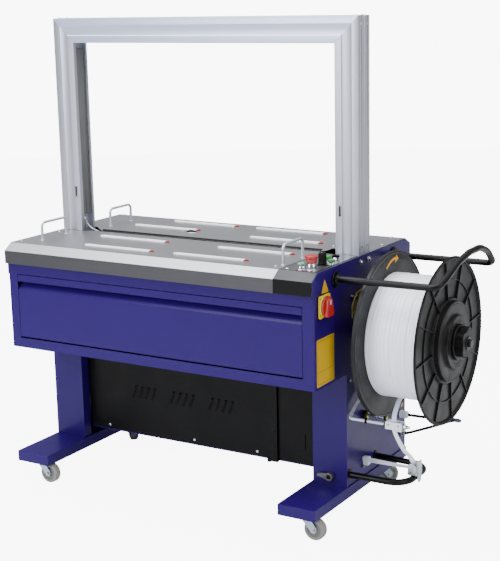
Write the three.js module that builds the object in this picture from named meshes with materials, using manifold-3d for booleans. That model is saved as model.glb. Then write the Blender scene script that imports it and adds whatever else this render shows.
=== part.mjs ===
// Semi automatic strapping machine: a table on two castored legs, a strap arch across it and a
// strap reel on the right end.
// Units are millimetres, +Z is up. The pieces are laid out with X = 0 in the middle of the arch
// opening, Y = 0 on the front face of the housing (the operator stands at -Y, with +X on the
// right) and Z = FLOOR_Z on the floor. The whole group is then moved so that its origin is on
// the floor in the middle of its footprint.
import * as THREE from 'three';
import { mergeVertices } from 'three/addons/utils/BufferGeometryUtils.js';
import Module from 'manifold-3d';

const wasm = await Module();
wasm.setup();

// ---------------------------------------------------------------- driving dimensions
const FLOOR_Z = -8;                      // floor level below the datum of the layout
const ORIGIN_X = 164.5, ORIGIN_Y = 306.25; // middle of the footprint
const BODY_HALF = 540;                   // housing half width
const BODY_D = 623;                      // housing depth
const BODY_BOT = 437, BODY_TOP = 704.6;  // underside and top edge of the housing
const TABLE_Z = 768;                     // working height
const TABLE_T = 2;                       // stainless top sheet
const TABLE_L = -543;                    // left end of the table
const TABLE_FRONT = -12.5;               // front skirt plane
const BEVEL_Y = 20, BEVEL_Z = 746.5;     // rear and lower edges of the front bevel
const REAR_BEVEL_Y = 588;                // front edge of the rear bevel
const SKIRT_Z = 706.2;                   // lower edge of the stainless skirt
const SLOT_Y0 = 288, SLOT_Y1 = 301;      // strap slot across the table
const PANEL_X0 = 540.3, PANEL_X1 = 543;  // right side panel
const ON_PANEL = PANEL_X1 + 0.3;         // seat of the parts fixed to that panel
const CONTROL_X0 = 420, CONTROL_X1 = 539.8, CONTROL_Y1 = 274; // control box
const ARCH_IN = 463;                     // half width of the arch opening
const ARCH_H = 600;                      // opening height above the table
const ARCH_Y0 = 276, ARCH_Y1 = 348;      // front and rear of the arch
const FOOT_IN = 420, FOOT_OUT = 541.8, FOOT_Y0 = -9, FOOT_Y1 = 604;
const FOOT_BOT = 57.5, FOOT_TOP = 91;
const POST_Y = 193;                      // front face of the leg posts
const LEG_SIDE_X = 538;                  // outer face of the leg side sheet
const CAB_X = 425.5, CAB_Y0 = 232, CAB_Y1 = 598, CAB_Z0 = 129; // lower cabinet
const AXLE_R = 12;                       // reel axle
const KING_PIN_R = 5;                    // castor king pin
const CASTOR_HALF_TRACK = 481.5, CASTOR_SHIFT_X = 16;
const CASTOR_FRONT_Y = 24, CASTOR_REAR_Y = 500;
// places on an axis along X are [y, z], along Y [x, z], along Z [x, y]
const REEL = [312, 540];
const ARM_PIVOT = [330, 401];
const BRAKE_PIVOT = [243, 650];
const LATCH_X = 485, LATCH_Z = 119;

// ---------------------------------------------------------------- solids
// Merged positions only, no collapsed triangles, faces turned outward.
function clean(source) {
  const bare = source.clone();
  for (const key of Object.keys(bare.attributes)) {
    if (key !== 'position') bare.deleteAttribute(key);
  }
  const merged = mergeVertices(bare, 1e-4);
  const points = merged.attributes.position, index = merged.index.array, kept = [];
  const a = new THREE.Vector3(), b = new THREE.Vector3(), c = new THREE.Vector3();
  let volume = 0;
  for (let i = 0; i < index.length; i += 3) {
    const [i0, i1, i2] = index.slice(i, i + 3);
    if (i0 === i1 || i1 === i2 || i0 === i2) continue;
    a.fromBufferAttribute(points, i0);
    b.fromBufferAttribute(points, i1);
    c.fromBufferAttribute(points, i2);
    volume += a.dot(b.cross(c));
    kept.push(i0, i1, i2);
  }
  if (volume < 0) kept.reverse();
  merged.setIndex(kept);
  return merged;
}
function solid(source) {
  if (source instanceof wasm.Manifold) return source;
  const geo = clean(source);
  return new wasm.Manifold(new wasm.Mesh({
    numProp: 3,
    vertProperties: new Float32Array(geo.attributes.position.array),
    triVerts: new Uint32Array(geo.index.array),
  }));
}
function geometry(source) {
  if (!(source instanceof wasm.Manifold)) return clean(source);
  const mesh = source.getMesh(), geo = new THREE.BufferGeometry();
  geo.setAttribute('position', new THREE.BufferAttribute(mesh.vertProperties, mesh.numProp));
  geo.setIndex(Array.from(mesh.triVerts));
  return clean(geo);
}
const add = (...list) => list.map(solid).reduce((sum, item) => sum.add(item));
const cut = (base, ...list) => list.map(solid).reduce((rest, item) => rest.subtract(item), solid(base));

function box(x0, x1, y0, y1, z0, z1) {
  return new THREE.BoxGeometry(x1 - x0, y1 - y0, z1 - z0)
    .translate((x0 + x1) / 2, (y0 + y1) / 2, (z0 + z1) / 2);
}
const boxes = table => table.map(row => box(...row));

function shape(outline, holes = []) {
  const vectors = points => points.map(p => new THREE.Vector2(...p));
  const result = new THREE.Shape(vectors(outline));
  for (const hole of holes) result.holes.push(new THREE.Path(vectors(hole)));
  return result;
}
const extrude = (flat, depth) => new THREE.ExtrudeGeometry(flat, { depth, bevelEnabled: false });
const basis = (...axes) => new THREE.Matrix4().makeBasis(...axes.map(v => new THREE.Vector3(...v)));
// a (y, z) outline swept from x0 to x1
function prismX(outline, x0, x1) {
  return extrude(shape(outline), x1 - x0)
    .applyMatrix4(basis([0, 1, 0], [0, 0, 1], [1, 0, 0])).translate(x0, 0, 0);
}
// an (x, z) outline swept from y0 to y1
function prismY(outline, y0, y1) {
  return extrude(shape(outline), y1 - y0)
    .applyMatrix4(basis([1, 0, 0], [0, 0, 1], [0, -1, 0])).translate(0, y1, 0);
}
// an (x, y) outline swept from z0 to z1
function prismZ(outline, z0, z1) {
  return extrude(shape(outline), z1 - z0).translate(0, 0, z0);
}
// section of a folded sheet: the line is one face, the material lies thickness to its left
function folded(line, thickness) {
  const normal = (from, to) => {
    const du = to[0] - from[0], dv = to[1] - from[1], length = Math.hypot(du, dv);
    return [-dv / length, du / length];
  };
  const last = line.length - 1;
  const inside = line.map(([u, v], i) => {
    const before = i > 0 ? normal(line[i - 1], line[i]) : normal(line[0], line[1]);
    const after = i < last ? normal(line[i], line[i + 1]) : before;
    const scale = thickness / (1 + before[0] * after[0] + before[1] * after[1]);
    return [u + scale * (before[0] + after[0]), v + scale * (before[1] + after[1])];
  });
  return line.concat(inside.reverse());
}
// closed ring of points; radiusAt takes (index, angle)
function ring([u, v], count, radiusAt) {
  return Array.from({ length: count }, (_, i) => {
    const angle = 2 * Math.PI * i / count, radius = radiusAt(i, angle);
    return [u + radius * Math.cos(angle), v + radius * Math.sin(angle)];
  });
}
// lays a geometry built round +Y along the named axis through the given place
function along(axis, geo, [u, v], shift = 0) {
  if (axis === 'x') return geo.rotateZ(-Math.PI / 2).translate(shift, u, v);
  if (axis === 'y') return geo.translate(u, shift, v);
  return geo.rotateX(Math.PI / 2).translate(u, v, shift);
}
function rod(axis, radius, from, to, place, segments) {
  const geo = new THREE.CylinderGeometry(radius, radius, to - from, segments);
  return along(axis, geo, place, (from + to) / 2);
}
// turned profile: its points are [radius, position along the axis]
function turned(axis, profile, place, segments) {
  const points = profile.map(p => new THREE.Vector2(...p));
  return along(axis, new THREE.LatheGeometry(points, segments), place);
}
// round bar along a polyline with rounded corners; only the bends get intermediate rings
function bar(line, radius, bend, sides, bendSteps) {
  const corners = line.map(p => new THREE.Vector3(...p)), curves = [];
  let from = corners[0];
  for (let i = 1; i < corners.length - 1; i++) {
    const back = corners[i - 1].clone().sub(corners[i]);
    const ahead = corners[i + 1].clone().sub(corners[i]);
    const reach = Math.min(bend, back.length() * 0.48, ahead.length() * 0.48);
    const start = corners[i].clone().add(back.setLength(reach));
    const end = corners[i].clone().add(ahead.setLength(reach));
    curves.push(new THREE.LineCurve3(from, start));
    curves.push(new THREE.QuadraticBezierCurve3(start, corners[i], end));
    from = end;
  }
  curves.push(new THREE.LineCurve3(from, corners.at(-1)));
  const knots = [], tangents = [];
  for (const curve of curves) {
    const count = curve instanceof THREE.LineCurve3 ? 1 : bendSteps;
    for (let i = knots.length ? 1 : 0; i <= count; i++) {
      knots.push(curve.getPoint(i / count));
      tangents.push(curve.getTangent(i / count));
    }
  }
  const steps = knots.length - 1;
  // the extrusion samples the path at i / steps, which is exactly at the knots
  class KnotPath extends THREE.Curve {
    getPointAt(t) { return knots[Math.round(t * steps)].clone(); }
    getTangentAt(t) { return tangents[Math.round(t * steps)].clone(); }
  }
  return new THREE.ExtrudeGeometry(shape(ring([0, 0], sides, () => radius)),
    { steps, bevelEnabled: false, extrudePath: new KnotPath() });
}

// ---------------------------------------------------------------- materials and meshes
// [colour, roughness, metalness]
const LOOKS = {
  blue: [0x37309a, 0.35, 0.1], black: [0x1c1c1e, 0.5, 0.1], steel: [0x9a9a98, 0.4, 0.9],
  alu: [0xb9bccb, 0.45, 0.8], track: [0x6e6f72, 0.6, 0.3], chrome: [0xd0d4da, 0.15, 1],
  red: [0xc0392f, 0.4, 0], yellow: [0xe5b315, 0.45, 0], green: [0x46b35c, 0.4, 0],
  mint: [0x86cfa4, 0.4, 0], dark: [0x2c2c2e, 0.5, 0], reel: [0x3b3c40, 0.5, 0],
  strap: [0xe4e7f2, 0.45, 0], tube: [0x17171a, 0.3, 0.3], zinc: [0xaab4c2, 0.35, 0.9],
  gold: [0xb9a24c, 0.35, 0.9], nylon: [0xc9c9c6, 0.6, 0], cast: [0x77777a, 0.5, 0.6],
  tyre: [0x8f8e8a, 0.8, 0], motor: [0x5a6470, 0.5, 0.4],
};
const machine = new THREE.Group();
function part(name, source, look, parent = machine) {
  const [color, roughness, metalness] = LOOKS[look];
  const geo = geometry(source);
  geo.computeVertexNormals();
  const mesh = new THREE.Mesh(geo, new THREE.MeshStandardMaterial({ color, roughness, metalness }));
  mesh.name = name;
  parent.add(mesh);
  return mesh;
}

// ---------------------------------------------------------------- leg frames
// Each is a foot channel, open below, with a folded front post, a side sheet and a rear face.
const LEG_T = 3, POST_IN = 427, POST_RETURN_Y = 227;
const STRAP_ENTRY = [LEG_SIDE_X - 10, LEG_SIDE_X + 10, 298, 316, 133, 155];
const castorX = side => side * CASTOR_HALF_TRACK + CASTOR_SHIFT_X;

function legFrame(side) {
  const sideBox = (inner, outer, ...rest) =>
    (side > 0 ? box(inner, outer, ...rest) : box(-outer, -inner, ...rest));
  const bottom = FOOT_TOP - 1, top = BODY_BOT - 0.4, rear = FOOT_Y1 - 2;
  let frame = cut(sideBox(FOOT_IN, FOOT_OUT, FOOT_Y0, FOOT_Y1, FOOT_BOT, FOOT_TOP),
    sideBox(FOOT_IN + LEG_T, FOOT_OUT - LEG_T, FOOT_Y0 + LEG_T, FOOT_Y1 - LEG_T,
      FOOT_BOT - 5, FOOT_TOP - LEG_T));
  frame = add(frame,
    // front face of the post, its inner return and its outer return
    sideBox(POST_IN, BODY_HALF, POST_Y, POST_Y + LEG_T, bottom, top),
    sideBox(POST_IN, POST_IN + LEG_T, POST_Y, POST_RETURN_Y, bottom, top),
    sideBox(BODY_HALF - 4.5, BODY_HALF, POST_Y, POST_Y + 7, bottom, top),
    // side sheet, rear face and top plate
    sideBox(LEG_SIDE_X - LEG_T, LEG_SIDE_X, POST_Y + 6, rear, bottom, top),
    sideBox(POST_IN, LEG_SIDE_X, rear - LEG_T, rear, bottom, top),
    sideBox(POST_IN, LEG_SIDE_X - 1, POST_Y + 1, rear - 1, top - LEG_T, top));
  // castor seats: plate and king pin under the foot
  const x = castorX(side);
  for (const y of [CASTOR_FRONT_Y, CASTOR_REAR_Y]) {
    frame = add(frame, box(x - 27, x + 27, y - 22, y + 22, FOOT_TOP - 6.5, FOOT_TOP - 2),
      rod('z', KING_PIN_R, FOOT_TOP - 15, FOOT_TOP - 5, [x, y], 12));
  }
  if (side < 0) return frame;
  // pivot stud of the guide arm and spindle of the latch
  frame = add(frame, rod('x', 6, LEG_SIDE_X - 2, ARM_X + 9, ARM_PIVOT, 16),
    rod('y', 6, POST_Y - 4, POST_Y + 1, [LATCH_X, LATCH_Z], 16));
  return cut(frame, box(...STRAP_ENTRY));
}
const ARM_X = 552; // plane of the guide arm
part('left_leg_frame', legFrame(-1), 'blue');
part('right_leg_frame', legFrame(1), 'blue');

// floor tray that ties the two legs together, open below
part('base_tray', cut(box(-425, 425, 234, 598, 119.8, 128.6),
  box(-421, 421, 238, 594, 100, 125.6)), 'blue');

// ---------------------------------------------------------------- housing
const SHEET = 2.5;
const DOOR_X0 = -506, DOOR_X1 = 502, DOOR_Z0 = 473, DOOR_Z1 = 671;
const HINGE = [7, 480], PIN_HOLE_R = 3.4;
const HINGE_LUGS_X = [[-512, -508], [505, 508]];
// [x0, x1, y0, y1, z0, z1]
const HOUSING_FITTINGS = [
  [-420, 420, 340, 352, BODY_BOT + 1, BODY_BOT + 42], // rail that carries the mechanism
  [-290, -110, 345, 575, 476.5, 479],                 // motor shelf
  [-290, -110, 572.5, 575, BODY_BOT + 1, 478],        // its rear support
  [-BODY_HALF + 1, -455, 270, 354, 696, BODY_TOP],    // ledges under the columns
  [455, BODY_HALF - 1, 270, 354, 696, BODY_TOP],
];
function mainHousing() {
  const shell = cut(box(-BODY_HALF, BODY_HALF, 0, BODY_D, BODY_BOT, BODY_TOP),
    box(-BODY_HALF + SHEET, BODY_HALF - SHEET, SHEET, BODY_D - SHEET,
      BODY_BOT + SHEET, BODY_TOP + 50),
    box(DOOR_X0 - 1.5, DOOR_X1 + 1.5, -5, 5, DOOR_Z0 - 5, DOOR_Z1 + 2.5),
    box(-380, 380, 260, 560, BODY_BOT - 5, BODY_BOT + 5));
  const band = box(-BODY_HALF - 4, -BODY_HALF + 1, 0, BODY_D, 671, BODY_TOP); // left end
  const lugs = HINGE_LUGS_X.map(([x0, x1]) => cut(box(x0, x1, 1, 16, 470, 490),
    rod('x', PIN_HOLE_R, x0 - 10, x1 + 10, HINGE, 12)));
  return add(shell, band, ...lugs, ...boxes(HOUSING_FITTINGS));
}
part('main_housing', mainHousing(), 'blue');

// Right side panel: rises to the table and follows its bevels; [y, z].
const SIDE_PANEL = [
  [0, BODY_BOT], [BODY_D, BODY_BOT], [BODY_D, 749], [REAR_BEVEL_Y, TABLE_Z],
  [BEVEL_Y, TABLE_Z], [-12, BEVEL_Z], [-12, 705.5], [0, 705.5],
];
part('right_side_panel', add(prismX(SIDE_PANEL, PANEL_X0, PANEL_X1),
  rod('x', 5, PANEL_X1 - 1, 563, BRAKE_PIVOT, 16)), 'blue'); // with the brake lever stud

// Front door: folded sheet [y, z], the finger recess sits behind the pull lip.
const DOOR_T = 2;
const DOOR_LINE = [[0, 650], [0, DOOR_Z1], [30, DOOR_Z1], [30, 651], [2, 623], [2, DOOR_Z0]];
function frontDoor() {
  let door = add(prismX(folded(DOOR_LINE, -DOOR_T), DOOR_X0, DOOR_X1),
    box(DOOR_X0, DOOR_X0 + DOOR_T, 0.5, 31, 648, DOOR_Z1 - 0.5),
    box(DOOR_X1 - DOOR_T, DOOR_X1, 0.5, 31, 648, DOOR_Z1 - 0.5));
  for (const x of [-400, 0, 400]) {
    door = cut(add(door, rod('x', 6.6, x - 35, x + 35, HINGE, 12)),
      rod('x', PIN_HOLE_R, x - 40, x + 40, HINGE, 12));
  }
  return door;
}
part('front_door', frontDoor(), 'blue');
part('door_hinge_pin', rod('x', 3, -511, 507, HINGE, 12), 'zinc');

// ---------------------------------------------------------------- lower cabinet
const CAB_TOP = BODY_BOT - 4, CAB_T = 2;
const COVER_Y0 = CAB_Y0 - 2.3, COVER_Y1 = CAB_Y0 - 0.3, COVER_Z0 = 125, COVER_Z1 = BODY_BOT - 4.5;
const CENTRE_POST_X0 = 263, CENTRE_POST_X1 = 289;
// a box right through the cabinet front and its covers
const frontCutter = (x0, x1, z0, z1) => box(x0, x1, CAB_Y0 - 5, CAB_Y0 + 5, z0, z1);
function lowerCabinet() {
  const shell = cut(box(-CAB_X, CAB_X, CAB_Y0, CAB_Y1, CAB_Z0, CAB_TOP),
    box(-CAB_X + CAB_T, CAB_X - CAB_T, CAB_Y0 + CAB_T, CAB_Y1 - CAB_T,
      CAB_Z0 + CAB_T, BODY_BOT + 5),
    frontCutter(-400, 255, CAB_Z0 + 20, BODY_BOT - 25),
    frontCutter(296, 400, CAB_Z0 + 20, BODY_BOT - 25));
  return add(shell,
    box(CENTRE_POST_X0, CENTRE_POST_X1, 222, CAB_Y0 + 1, CAB_Z0 - 12, CAB_TOP));
}
part('lower_cabinet', lowerCabinet(), 'black');

// Slanting slots in groups of four; each slot is [x from its station, z].
const LOUVRE_GROUPS_X = [-237, -91, 54], LOUVRE_COUNT = 4, LOUVRE_PITCH = 24.5;
const LOUVRE_SLOT = [[-2.5, 286], [-18.5, 244], [-15, 244], [1, 286]];
function louvredCover() {
  const slots = [];
  for (const groupX of LOUVRE_GROUPS_X) {
    for (let i = 0; i < LOUVRE_COUNT; i++) {
      const outline = LOUVRE_SLOT.map(([x, z]) => [groupX + i * LOUVRE_PITCH + x, z]);
      slots.push(prismY(outline, CAB_Y0 - 5, CAB_Y0 + 5));
    }
  }
  return cut(box(-CAB_X, CENTRE_POST_X0 - 0.4, COVER_Y0, COVER_Y1, COVER_Z0, COVER_Z1), ...slots);
}
part('louvred_cover', louvredCover(), 'black');
part('right_cover', cut(
  box(CENTRE_POST_X1 + 0.4, CAB_X, COVER_Y0, COVER_Y1, COVER_Z0, COVER_Z1),
  frontCutter(381, 383.5, 172, 218)), 'black');

// ---------------------------------------------------------------- table
// Outlines of the flats are [x, y], skirt and end sections are [y, z].
const COL_FRONT = ARCH_Y0 - 2, COL_REAR = ARCH_Y1 + 2; // table edges either side of the columns
const FLAT_Z = TABLE_Z - TABLE_T;
const FOLD_Z0 = TABLE_Z - 14, FOLD_Z1 = TABLE_Z - 1;   // stiffening folds at the slot

function tableFront() {
  const right = CONTROL_X0 - 0.5;
  const flat = [
    [TABLE_L, BEVEL_Y - 1], [right, BEVEL_Y - 1], [right, SLOT_Y0], [-ARCH_IN + 30, SLOT_Y0],
    [-ARCH_IN + 8, COL_FRONT], [TABLE_L, COL_FRONT],
  ];
  const skirt = [
    [TABLE_FRONT + 12, SKIRT_Z], [TABLE_FRONT, SKIRT_Z], [TABLE_FRONT, BEVEL_Z],
    [BEVEL_Y, TABLE_Z], [BEVEL_Y + 6, TABLE_Z],
  ];
  const end = [
    [TABLE_FRONT, SKIRT_Z], [COL_FRONT, SKIRT_Z], [COL_FRONT, TABLE_Z],
    [BEVEL_Y, TABLE_Z], [TABLE_FRONT, BEVEL_Z],
  ];
  return add(prismZ(flat, FLAT_Z, TABLE_Z),
    prismX(folded(skirt, -TABLE_T), TABLE_L, right),
    prismX(end, TABLE_L, TABLE_L + TABLE_T),
    box(-420, CONTROL_X0 - 2, SLOT_Y0 - 2, SLOT_Y0, FOLD_Z0, FOLD_Z1));
}
part('table_top_front', tableFront(), 'steel');

function tableRear() {
  const rear = BODY_D + 2, bevelZ = 747.5, flatRear = REAR_BEVEL_Y + 1;
  const flat = [
    [TABLE_L, COL_REAR], [-ARCH_IN + 8, COL_REAR], [-ARCH_IN + 32, SLOT_Y1 + 24],
    [-ARCH_IN + 62, SLOT_Y1], [ARCH_IN - 52, SLOT_Y1], [ARCH_IN - 46, SLOT_Y1 + 14],
    [ARCH_IN - 46, COL_REAR], [CONTROL_X1, COL_REAR], [CONTROL_X1, flatRear],
    [TABLE_L, flatRear],
  ];
  const skirt = [
    [rear - 12, SKIRT_Z], [rear, SKIRT_Z], [rear, bevelZ],
    [REAR_BEVEL_Y, TABLE_Z], [REAR_BEVEL_Y - 6, TABLE_Z],
  ];
  const end = [
    [COL_REAR, SKIRT_Z], [rear, SKIRT_Z], [rear, bevelZ],
    [REAR_BEVEL_Y, TABLE_Z], [COL_REAR, TABLE_Z],
  ];
  return add(prismZ(flat, FLAT_Z, TABLE_Z),
    prismX(folded(skirt, TABLE_T), TABLE_L, CONTROL_X1),
    prismX(end, TABLE_L, TABLE_L + TABLE_T),
    box(-395, ARCH_IN - 54, SLOT_Y1, SLOT_Y1 + 2, FOLD_Z0, FOLD_Z1));
}
part('table_top_rear', tableRear(), 'steel');

// wire lifting handles, one at each end of both top plates: [name, x, y0, y1, height]
const HANDLES = [
  ['handle_front_left', -470, 86, 205, 55],
  ['handle_front_right', 405, 73, 186, 58],
  ['handle_rear_left', -425, 380, 494, 57],
  ['handle_rear_right', 450, 400, 515, 57],
];
for (const [name, x, y0, y1, height] of HANDLES) {
  const length = y1 - y0;
  const line = [[0, 0, 0.2], [0, 0, height], [0, length, height], [0, length, 0.2]];
  part(name, bar(line, 3, 12, 8, 3), 'chrome').position.set(x, y0, TABLE_Z);
}

// ---------------------------------------------------------------- arch
const ARCH_P = 76.5;                    // profile width
const ARCH_MID = (ARCH_Y0 + ARCH_Y1) / 2; // joint plane between the two frames
const JOINT_GAP = 0.8, MITRE_GAP = 0.15;
const ARCH_BASE = 706;                  // foot of the columns, on the ledges of the housing
const ARCH_TOP = TABLE_Z + ARCH_H;      // inner face of the top beams
const LIP = 15, REAR_LIP = 12, TRACK_D = 13; // strap track recess in the inner faces
const CHAMFER = 2.4, WALL = 4;

// Profile as [distance from the inner face, y], recessed for the track, with its bore.
function archProfile(front) {
  const [y0, y1] = front ? [ARCH_Y0, ARCH_MID - JOINT_GAP] : [ARCH_MID + JOINT_GAP, ARCH_Y1];
  const outline = front
    ? [[0, y0], [ARCH_P - CHAMFER, y0], [ARCH_P, y0 + CHAMFER], [ARCH_P, y1],
      [TRACK_D, y1], [TRACK_D, y0 + LIP], [0, y0 + LIP]]
    : [[0, y1], [0, y1 - REAR_LIP], [TRACK_D, y1 - REAR_LIP], [TRACK_D, y0],
      [ARCH_P, y0], [ARCH_P, y1 - CHAMFER], [ARCH_P - CHAMFER, y1]];
  const near = TRACK_D + WALL, far = ARCH_P - WALL;
  const bore = [[near, y0 + WALL], [far, y0 + WALL], [far, y1 - WALL], [near, y1 - WALL]];
  return shape(outline, [bore]);
}
// Extrudes the profile and moves each end point to place(distance from inner face, y, atEnd).
function archMember(front, place) {
  const geo = extrude(archProfile(front), 1), points = geo.attributes.position;
  for (let i = 0; i < points.count; i++) {
    points.setXYZ(i, ...place(points.getX(i), points.getY(i), points.getZ(i) > 0.5));
  }
  return geo;
}
const column = (side, front) => archMember(front, (depth, y, atTop) =>
  [side * (ARCH_IN + depth), y, atTop ? ARCH_TOP + depth - MITRE_GAP : ARCH_BASE]);
const topBeam = front => archMember(front, (depth, y, atRight) =>
  [(atRight ? 1 : -1) * (ARCH_IN + depth - MITRE_GAP), y, ARCH_TOP + depth]);
for (const [tag, side] of [['left', -1], ['right', 1]]) {
  part(`column_${tag}_front`, column(side, true), 'alu');
  part(`column_${tag}_rear`, column(side, false), 'alu');
}
part('arch_top_front', topBeam(true), 'alu');
part('arch_top_rear', topBeam(false), 'alu');

// sprung track flaps that close the strap channel and let the strap pull out
const FLAP_Y = [ARCH_Y0 + LIP + 0.8, ARCH_Y1 - REAR_LIP - 0.8];
const FLAP_NEAR = 5, FLAP_FAR = 8; // depth behind the inner faces
part('track_flap_left', box(-ARCH_IN - FLAP_FAR, -ARCH_IN - FLAP_NEAR, ...FLAP_Y,
  TABLE_Z + 50, ARCH_TOP - 20), 'track');
part('track_flap_right', box(ARCH_IN + FLAP_NEAR, ARCH_IN + FLAP_FAR, ...FLAP_Y,
  TABLE_Z + 22, ARCH_TOP - 20), 'track');
part('track_flap_top', box(-ARCH_IN + 4, ARCH_IN - 4, ...FLAP_Y,
  ARCH_TOP + FLAP_NEAR, ARCH_TOP + FLAP_FAR), 'track');

// curved chute that leads the strap from the left column under the table
function strapChute() {
  const steps = 6, centreX = -ARCH_IN + 62, centreZ = TABLE_Z + 46, radiusX = 60;
  const radiusZ = radiusX * 0.78;
  const line = [];
  for (let i = 0; i <= steps; i++) {
    const angle = Math.PI + (Math.PI / 2) * (0.05 + 0.87 * i / steps);
    line.push([centreX + radiusX * Math.cos(angle), centreZ + radiusZ * Math.sin(angle)]);
  }
  return prismY(folded(line, -2), ARCH_Y0 + 16, SLOT_Y1 - 1.5);
}
part('strap_chute', strapChute(), 'steel');

// ---------------------------------------------------------------- control box
// place [x, y], collar radius and height above the table, hole radius
const CONTROLS = {
  estop: { place: [511, 43], collarR: 14, collarH: 21, holeR: 7.4 },
  start: { place: [483, 38], collarR: 10.5, collarH: 12, holeR: 6.4 },
  speed: { place: [507, 114], collarR: 13, collarH: 4, holeR: 3.9 },
  feed: { place: [497, 162], collarR: 11, collarH: 8, holeR: 6.4 },
  reverse: { place: [519, 141], collarR: 9, collarH: 4, holeR: 5.4 },
};
function controlBox() {
  const sheet = 2.5, bottom = SKIRT_Z + 0.4;
  const outside = [
    [TABLE_FRONT, bottom], [TABLE_FRONT, BEVEL_Z], [BEVEL_Y, TABLE_Z],
    [CONTROL_Y1, TABLE_Z], [CONTROL_Y1, bottom],
  ];
  const inside = [
    [TABLE_FRONT + sheet, bottom - 5], [TABLE_FRONT + sheet, BEVEL_Z - 1.2],
    [BEVEL_Y + 0.5, TABLE_Z - sheet], [CONTROL_Y1 - sheet, TABLE_Z - sheet],
    [CONTROL_Y1 - sheet, bottom - 5],
  ];
  const shell = cut(prismX(outside, CONTROL_X0, CONTROL_X1),
    prismX(inside, CONTROL_X0 + sheet, CONTROL_X1 - 2 * sheet));
  const list = Object.values(CONTROLS);
  const collars = list.map(({ place, collarR, collarH }) =>
    rod('z', collarR, TABLE_Z - 1, TABLE_Z + collarH, place, 16));
  const holes = list.map(({ place, holeR }) =>
    rod('z', holeR, TABLE_Z - 12, TABLE_Z + 40, place, 16));
  return cut(add(shell, ...collars), ...holes);
}
part('control_box', controlBox(), 'steel');

// button profiles: [radius, z]
const ESTOP_PROFILE = [
  [0, 757], [7, 757], [7, 793.5], [13.5, 793.5], [14, 803], [18, 805],
  [18, 811], [15.5, 815], [9, 817.5], [0, 818],
];
const START_PROFILE = [
  [0, 758], [6, 758], [6, 784], [12, 784], [12, 786.5], [10, 788.5], [0, 789],
];
const FEED_PROFILE = [
  [0, 758], [6, 758], [6, 780], [10.5, 780], [10.5, 786], [9, 788], [0, 788.5],
];
const REVERSE_PROFILE = [
  [0, 758], [5, 758], [5, 776], [8.5, 776], [8.5, 780], [7, 782], [0, 782.5],
];
function speedKnob() {
  const { place } = CONTROLS.speed;
  const grip = ring(place, 24, i => (i % 2 ? 12.2 : 11));
  return add(rod('z', 3.5, 756, 775, place, 16), prismZ(grip, 773.5, 806));
}
part('estop_button', turned('z', ESTOP_PROFILE, CONTROLS.estop.place, 20), 'red');
part('start_button', turned('z', START_PROFILE, CONTROLS.start.place, 16), 'mint');
part('speed_knob', speedKnob(), 'dark');
part('feed_button', turned('z', FEED_PROFILE, CONTROLS.feed.place, 16), 'green');
part('reverse_button', turned('z', REVERSE_PROFILE, CONTROLS.reverse.place, 16), 'green');

// main switch on the side panel
const SWITCH_Y = 46, SWITCH_Z = 671.5, SWITCH_HALF = 31.5;
const SWITCH = [SWITCH_Y, SWITCH_Z];
part('main_switch_base', cut(
  add(box(ON_PANEL, PANEL_X1 + 7, SWITCH_Y - SWITCH_HALF, SWITCH_Y + SWITCH_HALF,
    SWITCH_Z - SWITCH_HALF, SWITCH_Z + SWITCH_HALF),
  rod('x', 31, PANEL_X1 + 6, PANEL_X1 + 10, SWITCH, 28)),
  rod('x', 6.4, PANEL_X1 + 3, PANEL_X1 + 30, SWITCH, 16)), 'yellow');

// half round above, tapered below, with a grip across it and a spindle behind
function switchKnob() {
  const steps = 16, radius = 29, outline = [];
  for (let i = 0; i <= steps; i++) {
    const angle = Math.PI * i / steps;
    outline.push([SWITCH_Y + radius * Math.cos(angle), SWITCH_Z + radius * Math.sin(angle)]);
  }
  for (const [y, z] of [[-27, -24], [-16, -29], [16, -29], [27, -24]]) {
    outline.push([SWITCH_Y + y, SWITCH_Z + z]);
  }
  return add(prismX(outline, PANEL_X1 + 10.6, PANEL_X1 + 19),
    box(PANEL_X1 + 18, PANEL_X1 + 25, SWITCH_Y - 9, SWITCH_Y + 9, SWITCH_Z - 26, SWITCH_Z + 24),
    rod('x', 6, PANEL_X1 + 5, PANEL_X1 + 14, SWITCH, 16));
}
part('main_switch_knob', switchKnob(), 'red');

// ---------------------------------------------------------------- reel
const REEL_R = 241, COIL_R = 180, CORE_R = 99, DRUM_R = 120, HUB_R = 36;
const INNER_X0 = 615, INNER_X1 = 626;  // inner flange
const OUTER_X0 = 797, OUTER_X1 = 806;  // outer flange
const BORE_R = AXLE_R + 0.6;
// turned profiles: [radius, x]
const AXLE_PROFILE = [
  [0, ON_PANEL], [44, ON_PANEL], [44, PANEL_X1 + 7], [18, PANEL_X1 + 7], [18, 584],
  [AXLE_R, 584], [AXLE_R, 870], [9.5, 873], [0, 873],
];
const INNER_PROFILE = [
  [BORE_R, 586], [DRUM_R, 586], [DRUM_R, INNER_X1 - 5], [REEL_R - 9, INNER_X1 - 5],
  [REEL_R - 6, INNER_X0], [REEL_R, INNER_X0], [REEL_R, INNER_X1 + 1.5],
  [REEL_R - 6, INNER_X1 + 1.5], [REEL_R - 8, INNER_X1], [CORE_R, INNER_X1],
  [CORE_R, OUTER_X0 - 0.6], [CORE_R - 4, OUTER_X0 - 0.6], [CORE_R - 4, INNER_X1 - 2],
  [HUB_R, INNER_X1 - 2], [HUB_R, 760], [BORE_R, 760], [BORE_R, 586],
];
const COIL_PROFILE = [
  [CORE_R + 0.6, INNER_X1 + 0.6], [COIL_R, INNER_X1 + 0.6], [COIL_R, OUTER_X0 - 1],
  [CORE_R + 0.6, OUTER_X0 - 1], [CORE_R + 0.6, INNER_X1 + 0.6],
];
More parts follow.
